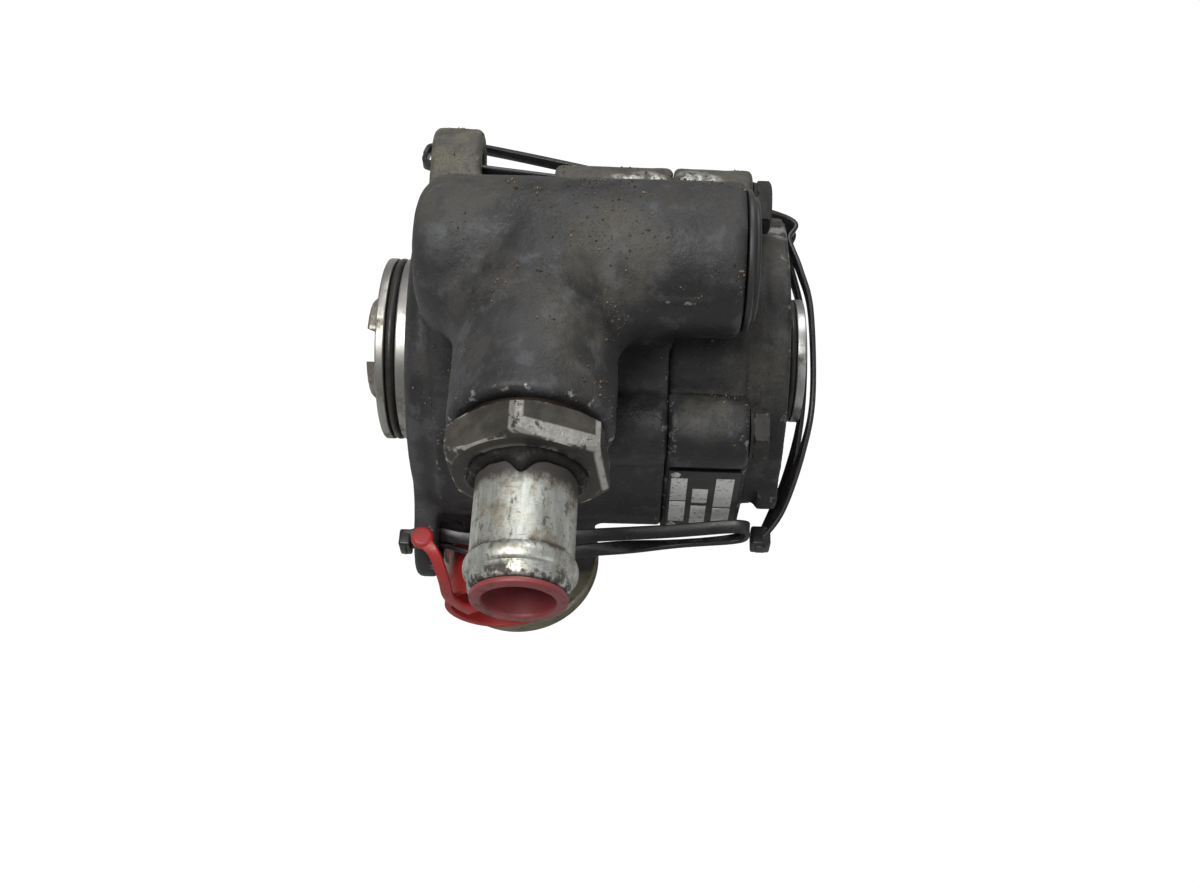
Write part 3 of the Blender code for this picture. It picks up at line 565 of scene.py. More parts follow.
def merge(bm, other):
    """Adds another bmesh's geometry to bm."""
    twins = {vert: bm.verts.new(vert.co) for vert in other.verts}
    for face in other.faces:
        bm.faces.new([twins[vert] for vert in face.verts])
    other.free()
    return bm


def box(low, high, edge=0.3, segments=3):
    bm = bmesh.new()
    bmesh.ops.create_cube(bm, size=1.0)
    size = Vector(high) - Vector(low)
    bmesh.ops.scale(bm, vec=size, verts=bm.verts)
    bmesh.ops.translate(bm, vec=(Vector(low) + Vector(high)) / 2, verts=bm.verts)
    if edge:
        bmesh.ops.bevel(bm, geom=bm.edges[:], offset=edge, segments=segments, profile=0.5, affect="EDGES")
    return bm


def catmull(p0, p1, p2, p3, t):
    return 0.5 * (
        2 * p1 + (p2 - p0) * t + (2 * p0 - 5 * p1 + 4 * p2 - p3) * t**2 + (3 * p1 - p0 - 3 * p2 + p3) * t**3
    )


# ---------------------------------------------------------------- castings


class Field:
    """Signed distance to a casting on a regular grid, in millimetres; blends fillet the joins."""

    def __init__(self, low, high, step):
        self.low = np.array(low, np.float32)
        self.step = step
        axes = [np.arange(low[k], high[k] + step, step, dtype=np.float32) for k in range(3)]
        self.x = axes[0][:, None, None]
        self.y = axes[1][None, :, None]
        self.z = axes[2][None, None, :]
        self.value = np.full([len(a) for a in axes], 50.0, np.float32)

    def across(self, along, centre):
        """(distance along, first cross coordinate, second cross coordinate) about an axis."""
        if along == "X":
            return self.x, self.y - centre[0], self.z - centre[1]
        return self.y, self.x - centre[0], self.z - centre[1]

    @staticmethod
    def extrude(flat, a, a0, a1, edge):
        """A shape whose outline distance is flat, between a0 and a1, with its rims rounded by edge."""
        side = flat + edge
        end = np.abs(a - (a0 + a1) / 2) - abs(a1 - a0) / 2 + edge
        return np.minimum(np.maximum(side, end), 0) + np.hypot(np.maximum(side, 0), np.maximum(end, 0)) - edge

    def rod(self, a0, a1, r, centre=(0, 0), along="X", edge=0.8):
        a, u, v = self.across(along, centre)
        return self.extrude(np.hypot(u, v) - r, a, a0, a1, min(edge, r * 0.99))

    def block(self, low, high, edge=1.5):
        parts = []
        for axis, lo, hi in zip((self.x, self.y, self.z), low, high):
            parts.append(np.abs(axis - (lo + hi) / 2) - (hi - lo) / 2 + edge)
        inside = np.minimum(np.maximum(np.maximum(parts[0], parts[1]), parts[2]), 0)
        outside = np.sqrt(sum(np.maximum(p, 0) ** 2 for p in parts))
        return inside + outside - edge

    def tapered(self, a0, a1, c1, r1, c2, r2, edge=1.5):
        """The hull of two circles in the plane across X, as a plate."""
        start = np.array(c1)
        span = np.array(c2) - start
        length = float(np.hypot(*span))
        uy, uz = span / length
        fall = (r1 - r2) / length
        rest = math.sqrt(1 - fall * fall)
        y = self.y - start[0]
        z = self.z - start[1]
        along = y * uy + z * uz
        beside = np.abs(y * uz - z * uy)
        k = -fall * beside + rest * along
        near = np.hypot(beside, along) - r1
        far = np.hypot(beside, along - length) - r2
        wall = beside * rest + along * fall - r1
        flat = np.where(k < 0, near, np.where(k > rest * length, far, wall))
        return self.extrude(flat, self.x, a0, a1, edge)

    def add(self, shape, fillet=0.0):
        if fillet <= 0:
            self.value = np.minimum(self.value, shape)
            return
        h = np.clip(0.5 + 0.5 * (self.value - shape) / fillet, 0, 1)
        self.value = self.value * (1 - h) + shape * h - fillet * h * (1 - h)

    def carve(self, shape, fillet=0.0):
        if fillet <= 0:
            self.value = np.maximum(self.value, -shape)
            return
        h = np.clip(0.5 - 0.5 * (self.value + shape) / fillet, 0, 1)
        self.value = self.value * (1 - h) - shape * h + fillet * h * (1 - h)

    def roughen(self, size, height, seed):
        """Shallow sand-cast unevenness."""
        shape = self.value.shape
        rng = np.random.default_rng(seed)
        coarse = [max(4, int(n * self.step / size) + 3) for n in shape]
        knots = rng.standard_normal(coarse).astype(np.float32)
        for axis in range(3):
            t = np.linspace(1, coarse[axis] - 2.001, shape[axis])
            low = t.astype(int)
            f = (t - low).astype(np.float32)
            f = f * f * (3 - 2 * f)
            form = [1, 1, 1]
            form[axis] = -1
            f = f.reshape(form)
            knots = np.take(knots, low, axis) * (1 - f) + np.take(knots, low + 1, axis) * f
        self.value += knots * height

    def blurred(self, reach):
        found = self.value
        for axis in range(3):
            margins = [(reach + 1, reach) if k == axis else (0, 0) for k in range(3)]
            total = np.cumsum(np.pad(found, margins, "edge"), axis)
            high = np.take(total, range(2 * reach + 1, total.shape[axis]), axis)
            low = np.take(total, range(0, total.shape[axis] - 2 * reach - 1), axis)
            found = (high - low) / (2 * reach + 1)
        return found

    def mesh(self, name):
        """Surface mesh with a "wear" attribute: above 0 on outside edges, below 0 in hollows."""
        reach = max(1, round(1.2 / self.step))
        bend = (self.blurred(reach) - self.value).astype(np.float32)
        grid = openvdb.FloatGrid(9.0)
        grid.copyFromArray(np.clip(self.value, -4, 9).astype(np.float32))
        grid.transform = openvdb.createLinearTransform(1.0)
        points, quads = grid.convertToQuads(0.0)
        index = np.clip(np.rint(points).astype(int), 0, np.array(self.value.shape) - 1)
        wear = bend[index[:, 0], index[:, 1], index[:, 2]] * 2.2
        world = (self.low + points * self.step) * MM + np.array(ORIGIN)
        mesh = bpy.data.meshes.new(name)
        mesh.from_pydata(world.tolist(), [], quads[:, ::-1].tolist())
        mesh.update()
        bm = bmesh.new()
        bm.from_mesh(mesh)
        volume = bm.calc_volume(signed=True)
        bm.free()
        if volume < 0:
            mesh.flip_normals()
        layer = mesh.attributes.new("wear", "FLOAT", "POINT")
        layer.data.foreach_set("value", wear.astype(np.float32))
        mesh.shade_smooth()
        return mesh


def housing_field():
    f = Field((-45.5, -57.5, -54.0), (32.5, 55.5, 73.0), VOXEL)
    f.add(f.rod(FLANGE_FRONT, -24.0, 40.0, edge=5.0))
    f.add(f.rod(-36.0, HOUSING_END, 41.8, edge=0.7), 3.0)
    f.add(f.rod(FLANGE_FRONT, -37.0, 36.0, edge=1.0), 2.0)
    for y, z, back in EARS:
        f.add(f.tapered(FLANGE_FRONT, back, (y, z), EAR_R, (0.45 * y, 0.45 * z), 15.0, 1.8), 3.5)
    for y, z in BOLT_CENTRES:
        f.add(f.rod(-11.0, HOUSING_END, 8.2, (y, z), edge=1.6), 3.0)
    f.add(f.block((-40.0, -39.0, -46.3), (-0.5, 0.0, -14.0), 3.0), 3.0)
    f.carve(f.block((-26.0, -70.0, -14.0), (30.0, -39.8, 22.0), 0.5), 1.5)
    valve = f.rod(VALVE_LEFT, VALVE_RIGHT, 16.5, VALVE, edge=7.5)
    square_end = f.rod(-10.0, VALVE_RIGHT, 16.5, VALVE, edge=2.2)
    valve = np.minimum(valve, square_end)
    suction = f.rod(-55.0, VALVE[0], 16.8, SUCTION, "Y", 1.6)
    reach = 11.0 * np.clip((VALVE[1] + 14.0 - f.z) / 8.0, 0.1, 1)
    h = np.clip(0.5 + 0.5 * (valve - suction) / reach, 0, 1)
    bosses = valve * (1 - h) + suction * h - reach * h * (1 - h)
    seam = f.rod(VALVE_LEFT + 0.5, VALVE_RIGHT - 0.9, 16.95, VALVE, edge=7.0)
    line = np.abs(f.z - VALVE[1] - 6.0) - 0.45
    bosses = np.minimum(bosses, np.maximum(seam, line))
    web = f.block((-35.0, -25.0, 18.0), (HOUSING_END - 1.0, 3.5, 52.0), 4.0)
    under = f.block((-24.8, -38.0, 14.0), (1.2, -11.0, 48.0), 6.0)
    f.add(web, 5.0)
    f.add(under, 5.0)
    f.add(bosses, 4.5)
    f.roughen(2.4, 0.05, 7)
    f.roughen(6.5, 0.07, 8)
    f.carve(f.rod(HOUSING_END, 40.0, 45.0, edge=0.1) + np.maximum(f.z - 36.5, 0) * 50)
    f.carve(f.rod(-16.0, 30.0, 33.0, edge=0.2))
    f.carve(f.rod(-60.0, -15.0, 13.2, edge=0.2))
    f.carve(f.rod(-43.0, -15.0, 17.6, edge=0.2))
    for y, z, back in EARS:
        f.carve(f.rod(-60.0, back + 5.0, 4.4, (y, z), edge=0.2), 0.5)
    f.carve(f.rod(24.6, 40.0, 11.2, VALVE, edge=0.2))
    f.carve(f.rod(-2.5, 40.0, 8.4, VALVE, edge=0.2))
    f.carve(f.rod(-70.0, -40.0, 10.8, SUCTION, "Y", 0.2))
    f.carve(f.rod(-70.0, -8.0, 8.2, SUCTION, "Y", 0.2))
    f.carve(f.rod(-50.0, -12.0, 6.0, PORT, "Y", 0.2))
    f.value = np.maximum(f.value, FLANGE_FRONT - f.x)
    return f


def cover_field():
    f = Field((15.0, -47.0, -54.0), (45.0, 52.5, 51.5), VOXEL)
    f.add(f.rod(SEAM, 33.6, 37.0, edge=0.6))
    f.add(f.rod(30.0, 38.6, 35.8, edge=1.2), 1.0)
    f.add(f.rod(38.0, COVER_END, 35.0, edge=0.9), 1.2)
    f.add(f.block((SEAM, FACET_Y, -20.0), (35.0, -5.0, 17.0), 0.9), 2.0)
    for y, z in BOLT_CENTRES:
        f.add(f.rod(SEAM, COLUMN_END, 8.2, (y, z), edge=1.4), 2.2)
    for turn in (10, 190):
        y = 33.0 * math.cos(math.radians(turn))
        z = 33.0 * math.sin(math.radians(turn))
        f.add(f.rod(38.6, COVER_END, 5.6, (y, z), edge=0.8), 2.0)
        f.carve(f.rod(36.0, 60.0, 2.6, (y, z), edge=0.1))
    f.roughen(2.4, 0.045, 11)
    f.roughen(6.5, 0.06, 12)
    f.carve(f.rod(0.0, 33.0, 9.6, edge=0.2))
    f.carve(f.rod(30.0, 60.0, 9.0, edge=0.2))
    f.value = np.maximum(f.value, f.x - COVER_END)
    f.value = np.maximum(f.value, SEAM - f.x)
    return f


def castings():
    bare_housing = (
        ((3.5, 12.0, 49.4), 3.0),
        ((9.8, 11.5, 49.6), 4.4),
        ((13.8, -40.5, 20.5), 1.2),
    )
    dirty_housing = (
        ((-37.0, 46.0, 22.0), 12.0, 1.0),
        ((-30.0, -4.0, 69.0), 8.0, 0.2),
        ((3.0, -20.0, 68.0), 7.0, 0.35),
        ((-2.0, -40.0, 70.0), 6.0, 0.25),
        ((-3.0, 13.0, 50.0), 8.0, 0.55),
        ((9.0, 13.0, 50.0), 8.0, 0.55),
    )
    paint = painted_casting(
        "cast_black", (0.019, 0.019, 0.02), (0.036, 0.036, 0.038), bare_housing, dirty_housing, 1.0, 0.8
    )
    mesh = housing_field().mesh("cast_housing")
    add_object("cast_housing", mesh, paint, BODY, ["pump_housing"])
    bare_cover = (
        ((21.0, 12.0, 49.8), 4.8),
        ((42.8, 16.0, 31.0), 3.2),
        ((43.0, 6.0, 34.4), 1.3),
        ((18.0, -38.0, 17.0), 1.4),
    )
    dirty_cover = (
        ((40.0, 6.0, 34.0), 7.0, 0.3),
        ((24.0, 13.0, 50.0), 8.0, 0.55),
        ((38.0, -20.0, 28.0), 7.0, 0.25),
        ((24.0, -36.0, 33.0), 4.0, 0.3),
    )
    # painted shade: the cover's paint is a darker copy of the housing's black paint, with base and scuff
    # tones lowered to stand in for the shade on the cover's side
    paint = painted_casting(
        "cover_black", (0.012, 0.0125, 0.014), (0.022, 0.0225, 0.025), bare_cover, dirty_cover, 0.9, 0.6
    )
    add_object("cast_cover", cover_field().mesh("cast_cover"), paint, BODY, ["end_cover"])


# ---------------------------------------------------------------- machined faces and fittings


def spigots():
    steel = machined("spigot_steel", (0.5, 0.49, 0.47), (0.3, 0.29, 0.26), (0.12, 0.1, 0.07))
    profile = [
        (-43.0, 13.3), (-43.0, 22.5), (-48.0, 22.5), (-48.0, 20.3), (-50.5, 20.3), (-50.5, 22.5),
        (-52.7, 22.5), (-52.7, 13.3),
    ]
    mesh = to_mesh("drive_spigot", turned(rounded(profile, 0.45), steps=160, looped=True))
    add_object("drive_spigot", mesh, steel, BODY)
    bright = machined("bright_rim", (0.6, 0.6, 0.59), (0.34, 0.34, 0.33), (0.12, 0.11, 0.09), 0.3, 0.48, 0.66)
    profile = [
        (43.1, 9.1), (43.1, 15.25), (45.4, 15.25), (45.4, 13.6), (47.3, 13.6), (47.3, 15.25),
        (49.5, 15.25), (49.5, 9.1),
    ]
    mesh = to_mesh("rear_spigot", turned(rounded(profile, 0.35), steps=120, looped=True))
    add_object("rear_spigot", mesh, bright, BODY)


def o_rings():
    black = rubber()
    rings = (
        ("drive_spigot_o_ring", torus(-49.25, 21.45, 1.08)),
        ("rear_spigot_o_ring", torus(46.35, 14.6, 0.88)),
    )
    for name, bm in rings:
        add_object(f"{name}_fine", to_mesh(name, bm), black, BODY, [name])
    for name in ("cover_o_ring", "valve_cap_o_ring", "shaft_seal"):
        NODES[name].data.materials.clear()
        NODES[name].data.materials.append(black)


def hexagon_head(a0, a1, flats, centre, along, phase, bore=None):
    """A hexagon whose corners are turned off at both ends, as on a machined nut or bolt head."""
    corner = flats / math.sqrt(3)
    low = min(a0, a1)
    high = max(a0, a1)
    drop = (corner - flats / 2) * 0.62
    levels = [(low, flats / 2 * 0.97), (low + 0.02, flats / 2 * 0.985)]
    levels += [(low + drop * t, flats / 2 + (corner - flats / 2) * t) for t in (0.25, 0.5, 0.75, 1.0)]
    levels += [(low + drop + 0.4, corner), (low + drop + 0.8, corner)]
    levels += [(low + high - a, r) for a, r in reversed(levels)]
    count = 96
    rings = []
    for a, limit in levels:
        ring = []
        for k in range(count):
            t = TAU * k / count
            turn = (t % (TAU / 6)) - TAU / 12
            r = min(flats / 2 / math.cos(turn), limit)
            t += phase
            ring.append(on_axis(along, a, centre[0] + r * math.cos(t), centre[1] + r * math.sin(t)))
        rings.append(ring)
    if bore:
        for a in (high, low):
            rings.append(circle(along, a, bore, centre, count, phase))
        return loft(rings, looped=True)
    return loft(rings)


def cover_bolts():
    s = Shader("bolt_black", specular=0.25)
    cloud = s.noise(2.2, 5, 0.65)
    fine = s.noise(0.6, 4, 0.7)
    wear = s.math("MULTIPLY", s.step(s.attribute("wear"), 0.4, 0.9), s.step(cloud, 0.5, 0.6))
    colour = s.blend(s.step(cloud, 0.35, 0.65), (0.014, 0.014, 0.015), (0.036, 0.032, 0.028))
    s.colour(s.blend(s.math("MULTIPLY", wear, 0.5), colour, (0.2, 0.19, 0.17)))
    s.metallic(s.math("MULTIPLY", wear, 0.8))
    s.roughness(s.step(cloud, 0.3, 0.7, 0.4, 0.65))
    s.bump(cloud, 0.15, 0.5)
    s.bump(fine, 0.08, 0.7)
    for number, (y, z) in enumerate(BOLT_CENTRES, 1):
        bm = hexagon_head(COLUMN_END + 1.0, COLUMN_END + 4.5, 10.4, (y, z), "X", 0.3 * number)
        flange = [(34.1, 0), (34.1, 5.7), (34.9, 5.5), (34.9, 0)]
        merge(bm, turned(rounded(flange, 0.2), (y, z), steps=72))
        dish = [(38.0, 0), (38.0, 3.6), (38.32, 4.1), (38.34, 4.5), (38.12, 4.8), (38.12, 4.85)]
        merge(bm, turned(dish, (y, z), steps=72))
        shank = rounded([(-4.0, 0), (-4.0, 2.9), (34.6, 2.9), (34.6, 0)], 0.4)
        merge(bm, turned(shank, (y, z), steps=40))
        mesh = to_mesh(f"bolt_{number}", bm, 25, wear=0.6)
        bolt = f"cover_bolt_{number}"
        add_object(f"{bolt}_fine", mesh, s.material, BODY, [bolt])


def suction_fittings():
    centre = SUCTION
    adapter = hexagon_head(-64.6, -56.5, 30.0, centre, "Y", math.radians(-24), 10.3)
    neck = [(-57.0, 10.4), (-43.0, 10.4), (-43.0, 7.6), (-59.9, 7.6), (-59.9, 10.35), (-57.0, 10.35)]
    merge(adapter, turned(neck, centre, "Y", 72, looped=True))
    mesh = to_mesh("suction_adapter_fine", adapter, 25, wear=0.5)
    add_object("suction_adapter_fine", mesh, worn_hex(), BODY, ["suction_adapter"])
    profile = [(-60.3, 8.2), (-60.3, 10.0), (-82.6, 10.0)]
    for t in range(9):
        turn = math.pi * t / 8
        profile.append((-84.9 + 1.9 * math.cos(turn), 10.0 + 0.9 * math.sin(turn)))
    profile += [(-88.9, 9.75), (-89.4, 9.6), (-89.7, 9.2), (-89.7, 8.5), (-89.4, 8.2)]
    mesh = to_mesh("suction_stub_fine", turned(profile, centre, "Y", 128, looped=True), 40)
    add_object("suction_stub_fine", mesh, stained_zinc(), BODY, ["suction_stub"])
    s = Shader("gunk", specular=0.25)
    tone = s.noise(1.6, 5, 0.7)
    s.colour(s.blend(tone, (0.003, 0.003, 0.003), (0.012, 0.01, 0.009)))
    s.roughness(s.step(tone, 0.35, 0.65, 0.3, 0.75))
    s.bump(tone, 0.4, 0.8)
    gunk = s.material
    rings = []
    for k in range(144):
        t = TAU * k / 144
        lump = noise.noise(Vector((math.cos(t) * 3.1, math.sin(t) * 3.1, 4.0)))
        drip = 2.6 * math.exp(-((t - 1.62) / 0.2) ** 2)
        fat = 1.75 + 0.85 * lump
        ring = []
        for j in range(12):
            turn = TAU * j / 12
            r = 10.25 + fat * 0.9 * math.cos(turn)
            a = -64.75 - (fat + drip) * math.sin(turn) * (1.0 if math.sin(turn) > 0 else 0.3)
            ring.append(on_axis("Y", a, centre[0] + r * math.cos(t), centre[1] + r * math.sin(t)))
        rings.append(ring)
    mesh = to_mesh("gunk_collar", loft(rings, looped=True), 60)
    add_object("gunk_collar", mesh, gunk, BODY)
    # painted shade: the copper washer is coloured near black, standing in for the shade in the gap between
    # the adapter and the boss
    washer = machined("copper_washer", (0.05, 0.034, 0.026), (0.035, 0.024, 0.02), (0.02, 0.015, 0.012), 0.6)
    profile = rounded([(-56.2, 11.2), (-56.2, 14.3), (-55.3, 14.3), (-55.3, 11.2)], 0.25)
    mesh = to_mesh("adapter_seal_ring_fine", turned(profile, centre, "Y", 120, looped=True))
    add_object("adapter_seal_ring_fine", mesh, washer, BODY, ["adapter_seal_ring"])


def plugs():
    dull_red = red_plastic("dull_red", (0.28, 0.05, 0.056), (0.17, 0.028, 0.032), 0.7)
    red = red_plastic("bright_red", (0.42, 0.028, 0.026), (0.3, 0.018, 0.018), 0.4)
    profile = [
        (-91.2, 7.3), (-91.2, 8.7), (-90.9, 9.2), (-90.4, 9.3), (-90.0, 9.2), (-90.0, 7.8), (-84.0, 7.7),
        (-83.6, 7.9), (-83.0, 7.65), (-76.5, 7.5), (-75.5, 6.6), (-75.5, 0),
    ]
    outside = turned(profile, SUCTION, "Y", 96)
    bmesh.ops.delete(outside, geom=[f for f in outside.faces if len(f.verts) > 4], context="FACES_ONLY")
    inner = [(-91.2, 7.3), (-90.9, 7.0), (-90.3, 6.9), (-77.4, 6.6), (-76.8, 6.1), (-76.7, 0)]
    lining = turned(inner, SUCTION, "Y", 96)
    bmesh.ops.delete(lining, geom=[f for f in lining.faces if len(f.verts) > 4], context="FACES_ONLY")
    merge(outside, lining)
    bmesh.ops.remove_doubles(outside, verts=outside.verts, dist=0.001)
    mesh = to_mesh("suction_plug_fine", outside, 40)
    add_object("suction_plug_fine", mesh, dull_red, "suction_plug", ["suction_transport_plug"])
    profile = [
        (-28.0, 0), (-28.0, 5.2), (-28.5, 5.7), (-39.3, 5.7), (-39.3, 13.0), (-41.0, 13.0), (-41.0, 12.4),
        (-44.0, 12.3), (-55.0, 12.4), (-55.0, 10.7), (-43.2, 10.5), (-43.2, 0),
    ]
    mesh = to_mesh("port_cap_fine", turned(rounded(profile, 0.35), PORT, "Y", 96), 40)
    add_object("port_cap_fine", mesh, red, "port_plug", ["pressure_port_cap"])
    return red


def strap(points, sides, width, thick, spans, swell=(0.0, 0.0)):
    """A flat strap with rounded edges, whose width lies along sides; swell widens it near its two ends."""

    def smooth(values):
        ends = [2 * values[0] - values[1], *values, 2 * values[-1] - values[-2]]
        found = []
        for k in range(len(values) - 1):
            found += [catmull(*ends[k : k + 4], s / spans) for s in range(spans)]
        return [*found, values[-1]]

    path = smooth([Vector(p) for p in points])
    across = smooth([Vector(side).normalized() for side in sides])
    last = len(path) - 1
    rings = []
    for k, middle in enumerate(path):
        ahead = (path[min(k + 1, last)] - path[max(k - 1, 0)]).normalized()
        side = (across[k] - ahead * across[k].dot(ahead)).normalized()
        t = k / last
        wide = width * (1.0 + swell[0] * max(0, 1 - t * 6) + swell[1] * max(0, 1 - (1 - t) * 6))
        rings.append(section(middle, side, ahead.cross(side), wide, thick))
    return loft(rings)


def section(middle, across, normal, width, thick):
    """Points of a rounded rectangle."""
    corner = 0.28
    ring = []
    for s, n in ((1, 1), (-1, 1), (-1, -1), (1, -1)):
        start = math.atan2(n, s)
        for j in (-1, 0, 1):
            turn = start + j * math.pi / 6
            ring.append(
                middle
                + across * (s * (width / 2 - corner) + corner * 1.41 * math.cos(turn) * 0.8)
                + normal * (n * (thick / 2 - corner) + corner * 1.41 * math.sin(turn) * 0.8)
            )
    return ring


def tether(red):
    route = [
        (-40.6, -49.0, -7.7),
        (-37.7, -52.0, -7.8),
        (-36.2, -54.6, -10.6),
        (-35.4, -56.2, -15.6),
        (-35.1, -56.6, -22.8),
        (-32.9, -56.4, -28.7),
        (-29.8, -56.4, -32.1),
    ]
    bm = strap(route, [(1, 0, 0.2)] * len(route), 2.7, 1.2, 8, (0.2, 0.5))
    knob = rounded([(-9.0, 0), (-9.0, 2.1), (-8.5, 2.7), (-7.0, 2.7), (-6.4, 2.1), (-6.4, 0)], 0.5)
    merge(bm, turned(knob, (-40.6, -48.5), "Z", 48))
    mesh = to_mesh("cap_tether_fine", bm, 40)
    add_object("cap_tether_fine", mesh, red, "port_plug", ["cap_tether"])


def lower_disc():
    profile = [
        (-52.3, 6.4), (-52.3, 20.6), (-51.6, 21.3), (-47.3, 21.3), (-46.6, 20.6), (-46.6, 3.3),
        (-49.4, 3.3), (-49.4, 5.7), (-52.0, 5.7),
    ]
    smooth = rounded(profile, 0.3)
    bm = turned(smooth, DISC, "Z", 160, looped=True)
    mesh = to_mesh("disc_fine", bm, 32, wear=1.2)
    add_object("port_block_disc_fine", mesh, olive_metal(), BODY, ["port_block_disc"])


def nameplate():
    """A black plate with three columns of blank silver fields."""
    y = -38.9
    black = plastic("plate_black", (0.014, 0.014, 0.015), (0.03, 0.029, 0.028), 0.42, 0.5)
    mesh = to_mesh("plate", box((17.2, y + 0.02, -16.4), (33.8, -38.35, 11.6), 0.12, 2))
    add_object("nameplate_fine", mesh, black.material, BODY, ["nameplate"])
    silver = Shader("plate_fields", metallic=0.6, roughness=0.45)
    cloud = silver.noise(3, 5, 0.7)
    dirt = silver.step(silver.noise(1.2, 5, 0.7), 0.53, 0.66)
    tone = silver.blend(cloud, (0.86, 0.87, 0.86), (0.62, 0.62, 0.6))
    silver.colour(silver.blend(silver.math("MULTIPLY", dirt, 0.7), tone, (0.12, 0.1, 0.085)))
    silver.bump(silver.noise(0.5, 4), 0.02, 0.6)
    bm = bmesh.new()
    columns = ((17.8, 21.6), (23.0, 26.6), (28.2, 32.4))
    spans = (((-13.2, -3.0), (-2.4, 8.4)), ((-15.4, -5.0), (-3.4, 3.4)), ((-15.4, -6.0), (-5.2, 8.6)))
    for (x0, x1), rows in zip(columns, spans):
        for z0, z1 in rows:
            merge(bm, box((x0, y - 0.09, z0), (x1, y + 0.05, z1), 0.05, 2))
    add_object("nameplate_fields", to_mesh("fields", bm), silver.material, BODY)
    rivets = machined("rivet_silver", (0.7, 0.7, 0.68), (0.5, 0.5, 0.48), (0.25, 0.22, 0.18), ring_axis="Y")
    for number, z in enumerate((-14.9, 10.1), 1):
        profile = [
            (-39.55, 0), (-39.5, 0.5), (-39.3, 1.0), (-39.0, 1.2), (-38.95, 1.2), (-38.95, 0.5),
            (-38.2, 0.5), (-38.2, 0),
        ]
        mesh = to_mesh(f"rivet_{number}", turned(profile, (18.7, z), "Y", 32), 50)
        rivet = f"nameplate_rivet_{number}"
        add_object(f"{rivet}_fine", mesh, rivets, BODY, [rivet])


def valve_cap(paint):
    profile = [
        (24.9, 0), (24.9, 9.6), (26.8, 9.6), (26.8, 8.9), (29.2, 8.9), (29.2, 10.9), (30.7, 10.9),
        (30.7, 15.0), (31.9, 15.0), (32.3, 13.4), (33.0, 13.4), (33.4, 12.8), (33.4, 6.0), (33.1, 5.8),
        (30.4, 5.6), (30.4, 0),
    ]
    mesh = to_mesh("valve_cap_fine", turned(rounded(profile, 0.4), VALVE, "X", 120), 32, wear=1.2)
    add_object("valve_cap_fine", mesh, paint, BODY, ["valve_cap"])


def tie_head(low, high):
    """The ratchet box of a cable tie, with a raised lip on one face."""
    bm = box(low, high, 0.6, 4)
    x0, y0, z0 = low
    x1, _, z1 = high
    merge(bm, box((x0 + 1.2, y0 - 0.5, z0 + 1.0), (x1 - 1.2, y0 + 0.4, z1 - 1.0), 0.25, 2))
    return bm


def cable_ties():
    black = nylon()
    long_route = [
        ((40.8, -41.4, -17.8), (0.4, 0.2, 1)),
        ((45.6, -34.2, -13.4), (0.6, -0.4, 0.7)),
        ((50.4, -22.0, -6.4), (0.2, -0.5, 1)),
        ((52.6, -10.0, -0.4), (0.0, -0.4, 1)),
        ((52.4, 12.0, 4.0), (0.0, -0.1, 1)),
        ((50.0, 23.0, 5.8), (0.0, 0.0, 1)),
        ((47.0, 32.0, 6.6), (0.2, 0.0, 1)),
        ((45.9, 39.3, 6.9), (0.2, 0.0, 1)),
        ((8.0, 42.2, 16.2), (0.0, 0.1, 1)),
        ((-31.0, 52.8, 14.8), (0.0, 0.0, 1)),
        ((-40.0, 53.2, 15.0), (0.0, 0.0, 1)),
        ((-44.0, 53.0, 15.0), (0.0, 0.0, 1)),
        ((-46.0, 52.2, 15.3), (0.0, 0.0, 1)),
        ((-46.5, 50.0, 16.3), (0.0, 0.0, 1)),
        ((-46.4, 46.6, 18.2), (0.0, 0.0, 1)),
        ((-45.5, 43.6, 19.2), (0.0, 0.0, 1)),
        ((-38.0, 42.3, 19.6), (0.0, 0.0, 1)),
        ((-30.0, 42.4, 18.8), (0.0, 0.0, 1)),
        ((8.0, 43.0, 11.4), (0.0, 0.1, 1)),
        ((45.6, 39.5, 3.4), (0.2, 0.0, 1)),
        ((47.2, 30.0, 2.4), (0.2, 0.0, 1)),
        ((50.9, 14.5, -0.8), (0.0, -0.1, 1)),
        ((51.4, 0.0, -4.4), (0.0, -0.4, 1)),
        ((50.2, -14.0, -9.0), (0.2, -0.5, 1)),
        ((47.0, -27.0, -14.8), (0.6, -0.4, 0.7)),
        ((41.6, -38.8, -19.2), (0.5, -0.2, 1)),
    ]
    flat = (0, 0.866, 0.5)
    on_edge = (0, 0.5, -0.866)
    leaning = (0, 0.766, -0.643)
    short_route = [
        ((-46.5, -42.6, -19.6), flat),
        ((-40.0, -42.0, -18.0), flat),
        ((-30.0, -43.6, -17.6), flat),
        ((-12.0, -43.7, -15.6), flat),
        ((0.0, -43.3, -13.8), flat),
        ((18.0, -42.7, -11.6), flat),
        ((34.2, -42.4, -8.4), flat),
        ((36.8, -42.8, -10.4), (0, 1, 0)),
        ((33.8, -43.2, -13.6), (0, 1, -0.6)),
        ((20.0, -45.0, -13.6), leaning),
        ((0.0, -46.0, -16.3), flat),
        ((-12.0, -47.4, -18.0), flat),
        ((-28.0, -47.3, -18.2), on_edge),
        ((-38.0, -43.8, -21.0), on_edge),
        ((-46.5, -43.6, -23.0), on_edge),
    ]
    ties = (
        ("cable_tie_long", long_route, ((38.4, -43.2, -21.0), (43.2, -38.2, -15.8))),
        ("cable_tie_short", short_route, ((-48.2, -45.2, -24.5), (-45.2, -40.8, -18.5))),
    )
    for name, route, head in ties:
        bm = strap(*zip(*route), 3.2, 1.1, 12)
        merge(bm, tie_head(*head))
        add_object(f"{name}_fine", to_mesh(name, bm, 40), black, BODY, [name])


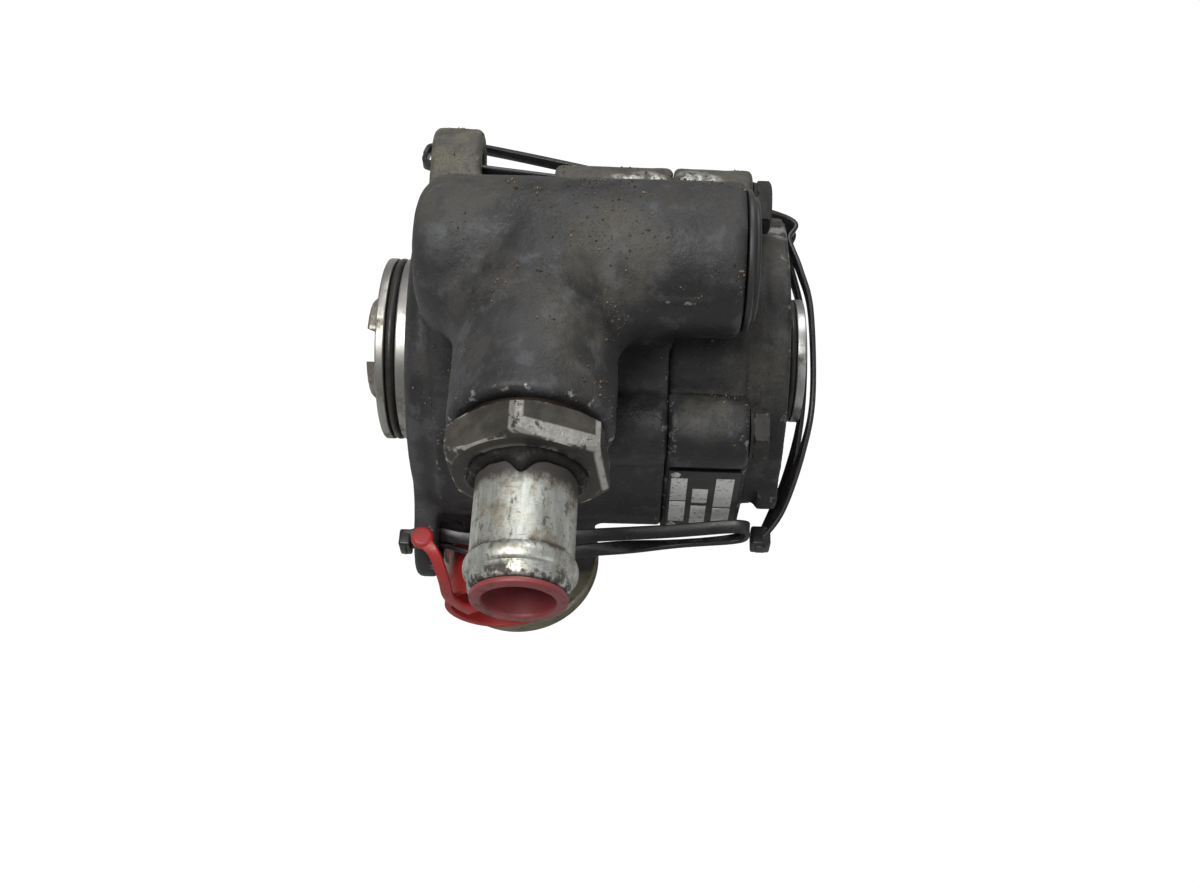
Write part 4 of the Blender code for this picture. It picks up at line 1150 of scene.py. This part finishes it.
def crumbs(casting, count, seed):
    """Loose grit lying in patches on the upward faces of a casting, as one mesh of small lumps."""
    mesh = casting.data
    total = len(mesh.polygons)
    centres = np.empty(total * 3, np.float32)
    normals = np.empty(total * 3, np.float32)
    mesh.polygons.foreach_get("center", centres)
    mesh.polygons.foreach_get("normal", normals)
    centres = centres.reshape(-1, 3)
    normals = normals.reshape(-1, 3)
    rng = np.random.default_rng(seed)
    bm = bmesh.new()
    placed = 0
    for face in rng.permutation(np.flatnonzero(normals[:, 2] > 0.3)):
        centre = Vector(centres[face])
        near_boss = 0.35 * math.exp(-((centre - place(4.0, -18.0, 66.0)).length / (16.0 * MM)) ** 2)
        if noise.noise(centre / (9.0 * MM) + Vector((seed, 0, 0))) + near_boss < rng.uniform(0.0, 0.6):
            continue
        size = 0.11 + 0.26 * rng.random() ** 4
        seat = (centre - ORIGIN) / MM + Vector(normals[face]) * size * 0.35
        lump = bmesh.ops.create_icosphere(bm, subdivisions=1, radius=1.0)["verts"]
        stretch = rng.uniform(0.6, 1.3, 3)
        for vert in lump:
            vert.co = seat + Vector(c * k for c, k in zip(vert.co, stretch)) * size * rng.uniform(0.75, 1.2)
        placed += 1
        if placed == count:
            break
    return bm


def scatter_grit():
    material = grit()
    scattered = (("cast_housing", 2200, 3, "cast_black"), ("cast_cover", 420, 5, "cover_black"))
    for name, count, seed, slot in scattered:
        bm = crumbs(bpy.data.objects[name], count, seed)
        add_object(f"{name}_grit", to_mesh(f"{name}_grit", bm, 60), material, BODY)


def finish_inner_parts():
    """The carried-over solids each get a metal of their own."""
    ground = machined(
        "ground_steel", (0.62, 0.62, 0.61), (0.48, 0.48, 0.47), (0.3, 0.27, 0.22), 0.25, 0.6, 0.85
    )
    stained = machined(
        "stained_steel", (0.42, 0.4, 0.36), (0.3, 0.28, 0.24), (0.13, 0.1, 0.07), 0.38, 0.45, 0.65
    )
    dark = machined("dark_steel", (0.22, 0.22, 0.22), (0.14, 0.14, 0.14), (0.07, 0.06, 0.05), 0.36)
    bronze = machined("bearing_bronze", (0.55, 0.36, 0.15), (0.42, 0.26, 0.1), (0.2, 0.11, 0.05), 0.32)
    casting = machined("bare_casting", (0.4, 0.4, 0.39), (0.28, 0.28, 0.27), (0.15, 0.13, 0.1), 0.5)
    black = machined("screw_black", (0.08, 0.08, 0.08), (0.05, 0.05, 0.05), (0.03, 0.028, 0.025), 0.45)
    finishes = {
        "steel": ground, "stained_steel": stained, "dark_steel": dark,
        "bronze": bronze, "bare_casting": casting, "bolt_black": black,
    }
    for part in frame["record"]["subparts"]:
        if part["material_slot"] in finishes:
            mesh = NODES[part["node"]].data
            mesh.materials.clear()
            mesh.materials.append(finishes[part["material_slot"]])


studio()
camera()
castings()
spigots()
o_rings()
cover_bolts()
suction_fittings()
tether(plugs())
lower_disc()
nameplate()
# painted shade: the valve cap takes the cover's darker copy of the black paint, which carries painted shade
valve_cap(bpy.data.materials["cover_black"])
cable_ties()
scatter_grit()
finish_inner_parts()
